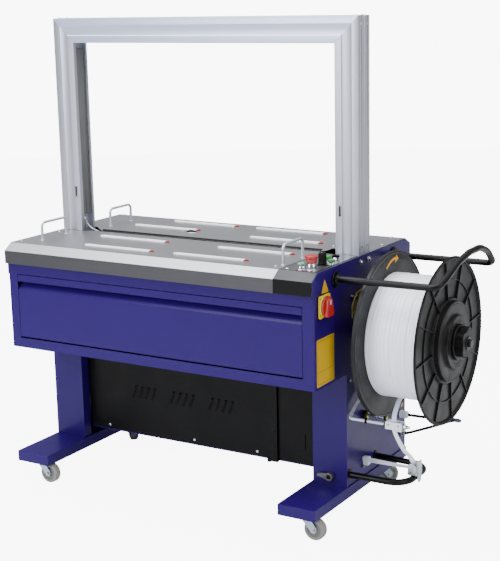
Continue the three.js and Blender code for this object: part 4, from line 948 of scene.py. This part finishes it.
# distance from the axle, angle, half height, x of the face
for r, angle, size, x in (
        (102, 125, 3.4, 821.2), (102, 12, 3.4, 821.2), (102, -38, 3.4, 821.2),
        (102, -110, 3.4, 821.2), (70, 119, 4.2, 831), (70, -82, 4.2, 831),
        (66, 133, 3.4, 831), (66, -96, 3.4, 831), (70, 18, 3.6, 831), (68, -40, 3.6, 831)):
    oval = [(REEL_Y + r + size * 1.35 * math.cos(rad(t)), REEL_Z + size * math.sin(rad(t)))
            for t in range(0, 360, 20)]
    holes.spokes(Solid().prism("x", oval, x - 0.3, x + 0.12), angle, 1)
make("flange_outer_hole_shade", holes, DARK, "reel")

# hand nut with five lobes
nut = Solid().lathe(AXLE, RIGHT, [
    (BORE, 831.5), (51, 831.5), (52, 832.6), (52, 837.6), (50.6, 839.6), (47, 840.2),
    (BORE, 840.2), (BORE, 831.5)], 64)
lobes = []
for i in range(120):
    a = 2 * math.pi * i / 120
    wave = math.cos(5 * a)
    r = 42.2 + 4.3 * (abs(wave) ** 0.55) * (1 if wave > 0 else -1)
    lobes.append(around(REEL_Y, REEL_Z, r, a))
make("hand_nut", nut.prism("x", lobes, 839.6, 861.8), BAKELITE, "nut", replaces="reel_nut",
     bevel=2.2, segments=3, sharp=40)
make("hand_nut_bush", Solid().lathe(AXLE, RIGHT, [
    (12.8, 861), (19, 861), (20, 861.6), (20, 863.4), (19, 864.4), (12.8, 864.4),
    (12.8, 861)], 40), BLACK_OXIDE, "nut", sharp=30)

# ------------------------------------------------------------------ guard bar and lower tube
BAR_RADIUS = 9.5
rail = Solid().tube(bent_path([
    (545, 120, 732), (849, 120, 735), (857, 152, 753), (857, 238, 784), (857, 320, 798),
    (857, 400, 798), (857, 460, 777), (857, 500, 741), (846, 504, 733), (545, 500, 732)],
    [32, 32, 90, 90, 90, 90, 60, 20, 30]), BAR_RADIUS, 28)
for y in (120, 500):
    rail.lathe((543.35, y, 732), RIGHT, [
        (0, 0), (23.2, 0), (24, 0.8), (24, 3.4), (22.6, 5.0), (13, 6.4), (11.4, 8.2),
        (10.6, 12.2), (9.3, 13.2), (0, 13.2)], 48)
make("guard_rail", rail, TUBE_BLACK, replaces="guard_bar", sharp=34)

make("lower_tube", Solid().tube(bent_path([
    (538.4, 210.5, 127), (715, 210.5, 127), (715, 385, 127), (538.4, 385, 130)], 54, 14),
    BAR_RADIUS, 28), TUBE_BLACK, replaces="lower_guide_tube", sharp=34)
collars = Solid()
for y, z in ((210.5, 127), (385, 130)):
    collars.lathe((LEG_X + 0.2, y, z), RIGHT, [
        (9.6, 0), (15.5, 0), (16, 0.6), (16, 2.2), (15, 3), (9.6, 3), (9.6, 0)], 36)
make("lower_tube_collars", collars, TUBE_BLACK, sharp=30)

# ------------------------------------------------------------------ swinging strap guide
ARM_Y, ARM_Z = 184, 310      # the arm's long part, along x
make("guide_arm_rod", Solid().tube(bent_path([
    (552, 321, 395.4), (552, ARM_Y, ARM_Z), (741.6, ARM_Y, ARM_Z)], 12, 8), 4.6, 20, cap=0.8)
    .lathe((547.3, 330, 401), RIGHT, [(6.7, 0), (11.2, 0), (12, 0.8), (12, 8.6), (11.2, 9.4),
                                      (6.7, 9.4), (6.7, 0)], 36),
    ROD, "arm", replaces="guide_arm", sharp=34)
make("guide_arm_nut", Solid().lathe((724.6, ARM_Y, ARM_Z), RIGHT, [
    (4.7, 0), (7.6, 0), (7.6, 5.4), (6.8, 6.2), (4.7, 6.2), (4.7, 0)], 6)
    .lathe((731.2, ARM_Y, ARM_Z), RIGHT, [
        (4.1, 0), (6.0, 0), (6.4, 0.8), (6.0, 1.6), (5.2, 2.2), (6.0, 2.8), (6.4, 3.6),
        (6.0, 4.4), (4.1, 4.4), (4.1, 0)], 28), SCREW, "arm", sharp=30)
make("guide_arm_collars", Solid().lathe((603.6, ARM_Y, ARM_Z), RIGHT, [
    (4.1, 0), (7.4, 0), (8, 0.6), (8, 6.0), (7.4, 6.6), (4.1, 6.6), (4.1, 0)], 28)
    .lathe((664.4, ARM_Y, ARM_Z), RIGHT, [
        (4.1, 0), (7.8, 0), (8.4, 0.6), (8.4, 5.6), (7.8, 6.2), (4.1, 6.2), (4.1, 0)], 28),
    BAKELITE, "arm", sharp=30)


def blocks(*rows):
    """Solid of several boxes, each (x0, x1, y0, y1, z0, z1)."""
    solid = Solid()
    for row in rows:
        solid.block(*row)
    return solid


make("guide_block_body", blocks(
    (672, 722, 170, 178, 301, 322), (676, 722, 177.6, 189.4, 298, 322),
    (672, 679.7, 177, 198, 304, 322), (700.3, 722, 177, 198, 298, 322),
    (676, 718, 193.6, 198, 298, 322), (698, 722, 170, 178, 298, 304)),
    NYLON, "arm", replaces="guide_block", bevel=1.1, segments=3, sharp=34)
make("guide_block_screws", Solid().heads("pan", 3.2, 2.2, FRONT, [
    (682, 170, 315), (712, 170, 315)], 16), SCREW, "arm", sharp=30)

# turning bracket at the right bend of the lower tube: floor, front and rear ears, end plate
FLOOR_Z, BRACKET_X = 137, 728.5
bracket = Solid().prism("z", round_rect(704, BRACKET_X, 262, 304, 3), FLOOR_Z, FLOOR_Z + 2.5)
EAR_RADII = [1.5, 1.5, 6, 4, 4, 6]
bracket.prism("y", rounded([
    (701, FLOOR_Z), (BRACKET_X, FLOOR_Z), (BRACKET_X, 164), (719, 172), (707, 172),
    (701, 165)], EAR_RADII), 262, 264.5)
bracket.prism("y", rounded([
    (701, FLOOR_Z), (BRACKET_X, FLOOR_Z), (BRACKET_X, 163), (720, 170), (706, 170),
    (701, 164)], EAR_RADII), 301.5, 304)
bracket.prism("x", rounded([
    (270, 150), (279, 112), (297, 112), (304, 150), (301, 178), (273, 178)],
    [6, 8.5, 8.5, 6, 6, 6], 5), BRACKET_X - 2.5, BRACKET_X)
make("turning_bracket", bracket, BRIGHT_PLATE, replaces="strap_guide_bracket", bevel=0.5,
     sharp=32)
pins = Solid().lathe((709.5, 283, 143.4), REAR, [
    (0, -18), (3.0, -18), (3.4, -17.4), (3.4, 17.4), (3.0, 18), (0, 18)], 20)
for y, axis in ((261.8, FRONT), (304.2, REAR)):
    for x, z in ((714, 158), (712, 147)):
        pins.lathe((x, y, z), axis, [(0, -0.3), (3.2, -0.3), (3.2, 1.6), (2.6, 2.2),
                                     (0, 2.2)], 16)
make("turning_bracket_pins", pins, SCREW, sharp=30)

# strap entry on the leg
ENTRY_X0, ENTRY_X1 = LEG_X + 0.3, 556
make("entry_guide", blocks(
    (ENTRY_X0, ENTRY_X1, 300, 305.2, 128, 152), (ENTRY_X0, ENTRY_X1, 312.4, 318, 128, 152),
    (ENTRY_X0, ENTRY_X1, 304.6, 313, 128, 138), (ENTRY_X0, ENTRY_X1, 304.6, 313, 150.6, 153.6)),
    NYLON, bevel=1.0, segments=3, sharp=34)
make("entry_guide_foot", Solid().block(LEG_X + 0.2, 542.4, 294, 324, 120, 129)
     .heads("pan", 2.6, 2.0, RIGHT, [(542.4, y, 124.4) for y in (299, 319)], 16),
     CAST, bevel=0.5)

# loose strap from the coil, through the guide block, round the bracket and into the leg:
# (x, y, z of the centre line), (direction of the width)
STRAP_PATH = [
    ((660, 312, 359.4), (1, 0, 0)), ((668, 270, 352), (1, 0.1, 0)),
    ((682, 215, 336), (1, 0, 0)), ((690, 191.5, 322), (1, 0, 0)),
    ((690, 191.5, 310), (1, 0, 0)), ((690, 191.5, 298), (1, 0, 0)),
    ((693, 204, 270), (1, 0.05, 0.03)), ((701, 236, 222), (0.95, 0.2, 0.2)),
    ((709.5, 257, 198), (0.88, 0.35, 0.3)), ((714.5, 271, 177), (0.75, 0.6, 0.3)),
    ((713, 281, 160), (0.5, 0.85, 0.15)), ((704, 289, 152), (0.2, 0.95, 0.2)),
    ((690, 292.5, 149.5), (0, 1, 0.25)), ((640, 299, 146.5), (0, 0.9, 0.4)),
    ((556, 305.4, 144.3), (0, 0.7, 0.7)), ((530, 307, 144), (0, 0.7, 0.7))]
IN_BLOCK = 4        # station inside the guide block, where the two pieces meet


def loose_strap(name, stations):
    """Strap piece through the given stations, attached to no body."""
    path, across = (catmull(column, 7) for column in zip(*stations))
    obj = make(name, Solid().ribbon(path, across, width=14, thick=0.9), STRAP, None,
               replaces="strap_tail", sharp=50)
    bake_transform(obj)


loose_strap("loose_strap_upper", STRAP_PATH[:IN_BLOCK + 1])
loose_strap("loose_strap_lower", STRAP_PATH[IN_BLOCK:])

# ------------------------------------------------------------------ stop peg above the guide
PEG_Y, PEG_Z = 306, 284
make("stop_peg_rubber", Solid().lathe((LEG_X + 0.2, PEG_Y, PEG_Z), RIGHT, [
    (0, 0), (13, 0), (13, 9), (11.6, 10.4), (0, 10.4)], 36)
    .lathe((606, PEG_Y, PEG_Z), RIGHT, [
        (0, 0), (7.6, 0), (8.4, 0.8), (8.4, 6.6), (7.6, 7.4), (0, 7.4)], 32),
    RUBBER, sharp=30)
make("stop_peg_nut", Solid().lathe((548.2, PEG_Y, PEG_Z), RIGHT, [
    (0, 0), (11, 0), (11, 5), (10, 6), (5, 6), (5, 6.2), (0, 6.2)], 6)
    .lathe((613, PEG_Y, PEG_Z), RIGHT, [(0, 0), (5.4, 0), (5.4, 1.8), (4.4, 2.6), (0, 2.6)],
           28), GOLD, sharp=30)
thread = [(0, 0)]
for i in range(27):
    thread += [(5.0, i * 2.0 + 0.4), (4.55, i * 2.0 + 1.4)]
make("stop_peg_stud", Solid().lathe((553, PEG_Y, PEG_Z), RIGHT, thread + [(0, 54)], 24),
     ZINC, sharp=50)

# ------------------------------------------------------------------ cable glands, looped cable
make("cable_gland_upper", Solid().lathe((LEG_X + 0.2, 566, 210), RIGHT, [
    (0, 0), (13, 0), (13, 5.4), (12, 6.2), (0, 6.2)], 6)
    .lathe((544, 566, 210), RIGHT, [(0, 0), (11.2, 0), (11.2, 7), (10.2, 8), (0, 8)], 36)
    .lathe((551.6, 566, 210), RIGHT, [
        (0, 0), (12.2, 0), (12.2, 9.6), (9.6, 13.4), (5.8, 14.2), (0, 14.2)], 10),
    NYLON, bevel=0.5, sharp=34)
make("cable_gland_lower", Solid().lathe((LEG_X + 0.2, 571, 147), RIGHT, [
    (0, 0), (12, 0), (12, 4.6), (11, 5.4), (0, 5.4)], 6)
    .lathe((543.4, 571, 147), RIGHT, [(0, 0), (9.4, 0), (9.4, 6), (7.6, 10), (5, 11),
                                      (0, 11)], 24), SCREW, bevel=0.4, sharp=34)
make("looped_cable", Solid().tube(catmull([
    (560, 566, 210), (590, 564, 211.5), (627, 560, 214), (680, 559, 219), (722, 560, 221.4)],
    8), 4.6, 18)
    .tube(catmull([
        (549, 571, 147), (563, 569, 150), (610, 562, 170), (675, 560, 198), (700, 560, 210),
        (722, 560, 217.6)], 8), 4.4, 18), CABLE, sharp=60)
loop_end = Solid().lathe((0, 0, 0), RIGHT, [
    (0, 0), (4.5, 1), (7.4, 6), (8.6, 13), (8.0, 20), (5.2, 25.4), (0, 27.2)], 28)
make("cable_loop_end", loop_end.moved(
    lambda p: Vector((p.x + 718, p.y * 0.75 + 560, p.z * 0.8 + 219.4))), MOTOR, sharp=60)
make("leg_sticker", Solid().prism("x", round_rect(572, 584, 230, 243.5, 1.2, 3),
                                  LEG_X + 0.02, LEG_X + 0.5), LABEL, bevel=0.1)

# ------------------------------------------------------------------ latch
LATCH_X, LATCH_Z = 485.0, 119.0
make("latch_handle", Solid().lathe((LATCH_X, 192.4, LATCH_Z), FRONT, [
    (6.7, 0), (12.5, 0), (12.5, 12.2), (11.6, 13.3), (6.7, 13.3), (6.7, 0)], 40)
    .prism("y", rounded([
        (LATCH_X + 1, LATCH_Z - 12), (LATCH_X - 38.8, LATCH_Z - 2),
        (LATCH_X - 38.8, LATCH_Z + 3.6), (LATCH_X - 32, LATCH_Z + 7),
        (LATCH_X + 3, LATCH_Z + 12)], [1, 2.4, 2.4, 6, 1]), 181.2, 186.8),
    CAST, "latch", replaces="latch_lever", bevel=0.9, segments=3, sharp=34)
make("latch_spindle_cap", Solid().lathe((LATCH_X, 185.2, LATCH_Z), FRONT, [
    (0, 0), (5.8, 0), (5.8, 5.6), (4.8, 6.6), (2.2, 6.6), (2.0, 5.2), (0, 5.2)], 28),
    BAKELITE, sharp=34)

# ------------------------------------------------------------------ castors
WHEEL_X, WHEEL_Z = 28, 24.5         # wheel axle, x from the swivel axis


def castor(tag, x, y, degrees):
    """Castor on the swivel axis (x, y), its trail turned from +x by degrees."""
    turn = Matrix.Rotation(rad(degrees), 3, "Z")
    fork_body, wheel_body = "fork_" + tag, "wheel_" + tag
    hub = (WHEEL_X, 0, WHEEL_Z)

    def placed(solid):
        return solid.moved(lambda p: turn @ p + Vector((x, y, 0.0)))

    fork = Solid().lathe((0, 0, 0), UP, [
        (5.7, 73.4), (14.5, 73.4), (18.2, 74.6), (19, 76), (19, 78.6), (17.6, 80),
        (17.6, 81), (18.2, 81.4), (18.2, 83), (17.4, 83.6), (5.7, 83.6), (5.7, 73.4)], 48)
    fork.prism("z", round_rect(-20, 17, -16.7, 16.7, [8, 4, 4, 8], 5), 73.2, 75.8)
    leg = rounded([
        (-20, 76), (16, 76), (18, 60), (38.4, 31), (38.6, 21), (32, 15.2), (23, 15.2),
        (18.6, 22), (-13, 57)], [2, 2, 8, 6, 7, 7, 7, 9, 10], 5)
    fork.prism("y", leg, 14.2, 16.7).prism("y", leg, -16.7, -14.2)
    make("fork_shell_" + tag, placed(fork), ZINC, fork_body, replaces="castor_fork_" + tag,
         bevel=0.7, segments=3, sharp=34)
    axle = Solid()
    for d in (-1, 1):
        axle.lathe((WHEEL_X, d * 16.7, WHEEL_Z), (0, d, 0), [
            (0, -0.3), (7.4, -0.3), (7.4, 0.7), (0, 0.7)], 28)
        axle.lathe((WHEEL_X, d * 17.3, WHEEL_Z), (0, d, 0), [
            (0, 0), (5.6, 0), (5.6, 2.2), (5.0, 2.8), (0, 2.8)], 6)
    axle.lathe(hub, REAR, [(0, -16.5), (4.2, -16.5), (4.2, 16.5), (0, 16.5)], 20)
    make("fork_axle_" + tag, placed(axle), SCREW, fork_body, sharp=30)
    make("tyre_" + tag, placed(Solid().lathe(hub, REAR, [
        (22.6, -11), (23.4, -11.9), (26, -12.5), (29, -12.1), (31.4, -10.2), (32.5, -7.0),
        (32.5, 7.0), (31.4, 10.2), (29, 12.1), (26, 12.5), (23.4, 11.9), (22.6, 11),
        (22.6, -11)], 80)), TYRE, wheel_body, replaces="castor_wheel_" + tag, sharp=40)
    make("hub_" + tag, placed(Solid().lathe(hub, REAR, [
        (4.5, -13.4), (9.6, -13.4), (10.6, -12.6), (11, -9.8), (12.4, -9), (19.6, -9),
        (20.8, -11), (22.8, -11.3), (23.0, -10.2), (23.0, 10.2), (22.8, 11.3), (20.8, 11),
        (19.6, 9), (12.4, 9), (11, 9.8), (10.6, 12.6), (9.6, 13.4), (4.5, 13.4),
        (4.5, -13.4)], 64)), HUB, wheel_body, sharp=34)
    make("king_nut_" + tag, Solid().lathe((x, y, 0), UP, [
        (0, 66.8), (6.8, 66.8), (7.8, 67.6), (7.8, 72.2), (0, 72.2)], 6), SCREW, sharp=30)


castor("front_left", -465.5, 24, 0)
castor("front_right", 497.5, 24, 0)
castor("rear_left", -465.5, 500, -40)
castor("rear_right", 497.5, 500, 45)

# ------------------------------------------------------------------ labels on the right side
TRIANGLE = [Vector(p) for p in ((57, 749), (35, 705), (83, 703))]
TRIANGLE_MID = (TRIANGLE[0] + TRIANGLE[1] + TRIANGLE[2]) / 3


def triangle(scale):
    return [tuple(TRIANGLE_MID + (p - TRIANGLE_MID) * scale) for p in TRIANGLE]


make("side_triangle_border", Solid().prism("x", rounded(triangle(1.0), 4),
                                           SIDE_X + 0.02, SIDE_X + 0.35), LABEL_PRINT)
make("side_triangle_panel", Solid().prism("x", rounded(triangle(0.86), 3),
                                          SIDE_X + 0.3, SIDE_X + 0.6), LABEL)
make("side_sticker_panel", Solid().prism("x", round_rect(8, 111, 446, 581, 5),
                                         SIDE_X + 0.02, SIDE_X + 0.35), LABEL)
make("side_sticker_lines", blocks(*(
    (SIDE_X + 0.3, SIDE_X + 0.5, *span) for span in (
        (14, 105, 573.6, 574.8), (14, 105, 452.2, 453.4), (14, 15.2, 452.2, 574.8),
        (103.8, 105, 452.2, 574.8), (14, 105, 487, 488.0)))), LABEL_PRINT)

# ------------------------------------------------------------------ bolts and small parts
bolts = Solid()
for r, h, places in (
        (6.8, 5.2, [(SIDE_X, 279, 750), (SIDE_X, 329, 751.5)]), (6.2, 4.4, [(548, 243, 650)]),
        (4.6, 3.4, [(SIDE_X, 222, 662)]), (4.4, 3.2, [(LEG_X + 0.2, 221, 412)])):
    bolts.heads("hex", r, h, RIGHT, places)
make("side_panel_bolts", bolts, SCREW, bevel=0.25, sharp=30)
make("cover_bolts", Solid().heads("dome", 5.4, 2.8, FRONT, [
    (x, COVER_Y, 138) for x in (-349, -17, 214)], 18), SCREW, sharp=40)
caps = Solid().lathe((256, COVER_Y, 118), FRONT, [
    (0, -0.4), (7, -0.4), (7, 2.2), (5.8, 4.4), (3, 5.4), (0, 5.6)], 28)
for z in (219, 163):
    caps.lathe((276, 222, z), FRONT, [(0, -0.3), (3.8, -0.3), (3.8, 0.8), (2.6, 1.6),
                                      (0, 1.8)], 20)
make("centre_post_caps", caps, BAKELITE, sharp=40)

# slanted hood over a louvre: four corners on the cover, then four in front of them;
# (x from the louvre, y, z)
HOOD = [(-2.5, 229.6, 286), (-18.5, 229.6, 244), (-9.4, 229.6, 243), (6.6, 229.6, 287),
        (-1.3, 224.4, 283), (-17.3, 224.4, 247), (-13.6, 225.4, 247), (2.4, 225.4, 283)]
HOOD_FACES = [[0, 1, 2, 3], [4, 5, 6, 7], [0, 1, 5, 4], [1, 2, 6, 5], [2, 3, 7, 6],
              [3, 0, 4, 7]]
hoods = Solid()
for first_x in (-237, -91, 54):
    for i in range(4):
        hoods.add([(first_x + i * 24.5 + x, y, z) for x, y, z in HOOD], HOOD_FACES)
make("louvre_hoods", hoods, BLACK_SHEET, bevel=0.9, sharp=34)

# edge bead where the tray meets the cover, rear screws and plates
make("tray_edge_bead", Solid().prism("x", round_rect(231.9, 234.4, 119.9, 124.4, 1.0, 3),
                                     -418, 418), BLUE, sharp=34)
make("rear_screws", Solid().heads("dome", 5.2, 2.8, REAR, [
    (x, 623, z) for x in (-500, -170, 170, 500) for z in (455, 690)], 18), SCREW, sharp=40)
plates = Solid()
for x in (-60, 60):
    plates.prism("y", round_rect(x - 40, x + 40, 508, 640, 6), 623.05, 624.2)
make("rear_access_plates", plates, BLUE, bevel=0.5)

# ------------------------------------------------------------------ floor
BACKDROP = (0.985, 0.988, 1.0, 1)


def floor_material():
    """Matt floor, mixed with a bright glow that only the camera sees."""
    mat = material("studio_floor", rgb=(238, 239, 241), rough=0.75, tint=0.01, bump=0.02,
                   bump_scale=60, spec=0.1, gain=1.0)
    tree = mat.node_tree
    glow = add_node(tree, "ShaderNodeEmission", {"Color": BACKDROP, "Strength": 13.0})
    rays = add_node(tree, "ShaderNodeLightPath")
    share = add_node(tree, "ShaderNodeMath", {0: rays.outputs["Is Camera Ray"], 1: 0.62},
                     operation="MULTIPLY")
    mix = add_node(tree, "ShaderNodeMixShader", {
        "Fac": share.outputs[0], 1: tree.nodes["Principled BSDF"].outputs[0],
        2: glow.outputs[0]})
    tree.links.new(mix.outputs[0], tree.nodes["Material Output"].inputs["Surface"])
    return mat


FLOOR_RADIUS, FLOOR_SIDES = 9000, 24
floor_mesh = bpy.data.meshes.new("floor")
floor_mesh.from_pydata(
    [Vector((*around(0, 0, FLOOR_RADIUS, 2 * math.pi * i / FLOOR_SIDES), -0.02)) * MM
     for i in range(FLOOR_SIDES)], [], [list(range(FLOOR_SIDES))])
floor = bpy.data.objects.new("floor", floor_mesh)
bpy.context.scene.collection.objects.link(floor)
floor_mesh.materials.append(floor_material())


# ------------------------------------------------------------------ world
def studio_world():
    """Grey gradient by height for the light, plain bright backdrop for the camera."""
    world = bpy.data.worlds.new("studio")
    bpy.context.scene.world = world
    world.use_nodes = True
    tree = world.node_tree
    tree.nodes.clear()
    place = add_node(tree, "ShaderNodeTexCoord")
    split = add_node(tree, "ShaderNodeSeparateXYZ", {"Vector": place.outputs["Generated"]})
    height = add_node(tree, "ShaderNodeMapRange", {
        "From Min": -1, "From Max": 1, "Value": split.outputs["Z"]})
    ramp = add_node(tree, "ShaderNodeValToRGB", {"Fac": height.outputs["Result"]})
    stops = ramp.color_ramp.elements
    stops[0].color = (0.25, 0.25, 0.26, 1)
    stops[1].color = (1.0, 1.0, 1.0, 1)
    for position, colour in (
            (0.49, (0.16, 0.16, 0.165, 1)), (0.56, (0.16, 0.16, 0.165, 1)),
            (0.68, (0.20, 0.20, 0.205, 1)), (0.80, (0.52, 0.52, 0.53, 1)),
            (0.90, (1.0, 1.0, 1.0, 1))):
        stops.new(position).color = colour
    light = add_node(tree, "ShaderNodeBackground", {
        "Color": ramp.outputs["Color"], "Strength": 1.9})
    backdrop = add_node(tree, "ShaderNodeBackground", {"Color": BACKDROP, "Strength": 9.0})
    rays = add_node(tree, "ShaderNodeLightPath")
    mix = add_node(tree, "ShaderNodeMixShader", {
        "Fac": rays.outputs["Is Camera Ray"], 1: light.outputs["Background"],
        2: backdrop.outputs["Background"]})
    add_node(tree, "ShaderNodeOutputWorld", {"Surface": mix.outputs["Shader"]})


studio_world()


# ------------------------------------------------------------------ lights and camera
def softbox(name, location, target, size, power, colour=(1, 1, 1)):
    """Rectangular light; places and size in metres, power in watts."""
    data = bpy.data.lights.new(name, "AREA")
    data.shape = "RECTANGLE"
    data.size, data.size_y = size
    data.energy, data.color = power, colour
    obj = bpy.data.objects.new(name, data)
    obj.location = location
    aim = Vector(target) - Vector(location)
    obj.rotation_euler = aim.to_track_quat("-Z", "Y").to_euler()
    bpy.context.scene.collection.objects.link(obj)


softbox("softbox_top", location=(-0.6, -0.5, 3.2), target=(0, 0, 0.7), size=(2.8, 2.2),
        power=140)
softbox("softbox_front", location=(-1.2, -3.2, 1.9), target=(0, 0, 0.6), size=(1.6, 1.8),
        power=92, colour=(0.95, 0.965, 1.0))
softbox("softbox_right", location=(3.0, -0.9, 1.9), target=(0.4, 0, 0.6), size=(1.2, 1.8),
        power=40)


def add_camera(place, yaw, pitch, roll, lens, shift):
    """Camera turned left of +y by yaw and down by pitch, in degrees; place in layout mm."""
    data = bpy.data.cameras.new("camera")
    data.sensor_width = 36.0
    data.lens = lens
    data.shift_x, data.shift_y = shift
    data.clip_end = 50
    obj = bpy.data.objects.new("camera", data)
    bpy.context.scene.collection.objects.link(obj)
    yaw, pitch, roll = rad(yaw), rad(pitch), rad(roll)
    forward = Vector((-math.sin(yaw) * math.cos(pitch), math.cos(yaw) * math.cos(pitch),
                      -math.sin(pitch)))
    level = Vector((math.cos(yaw), math.sin(yaw), 0))
    up = level.cross(forward)
    across = level * math.cos(roll) + up * math.sin(roll)
    upward = up * math.cos(roll) - level * math.sin(roll)
    turn = Matrix((across, upward, -forward)).transposed().to_4x4()
    obj.matrix_world = Matrix.Translation(to_scene(*place)) @ turn
    bpy.context.scene.camera = obj


add_camera(place=(2197.64, -3058.26, 1517.98), yaw=31.511, pitch=12.780, roll=-1.273,
           lens=84.70, shift=(0.00893, 0.01658))
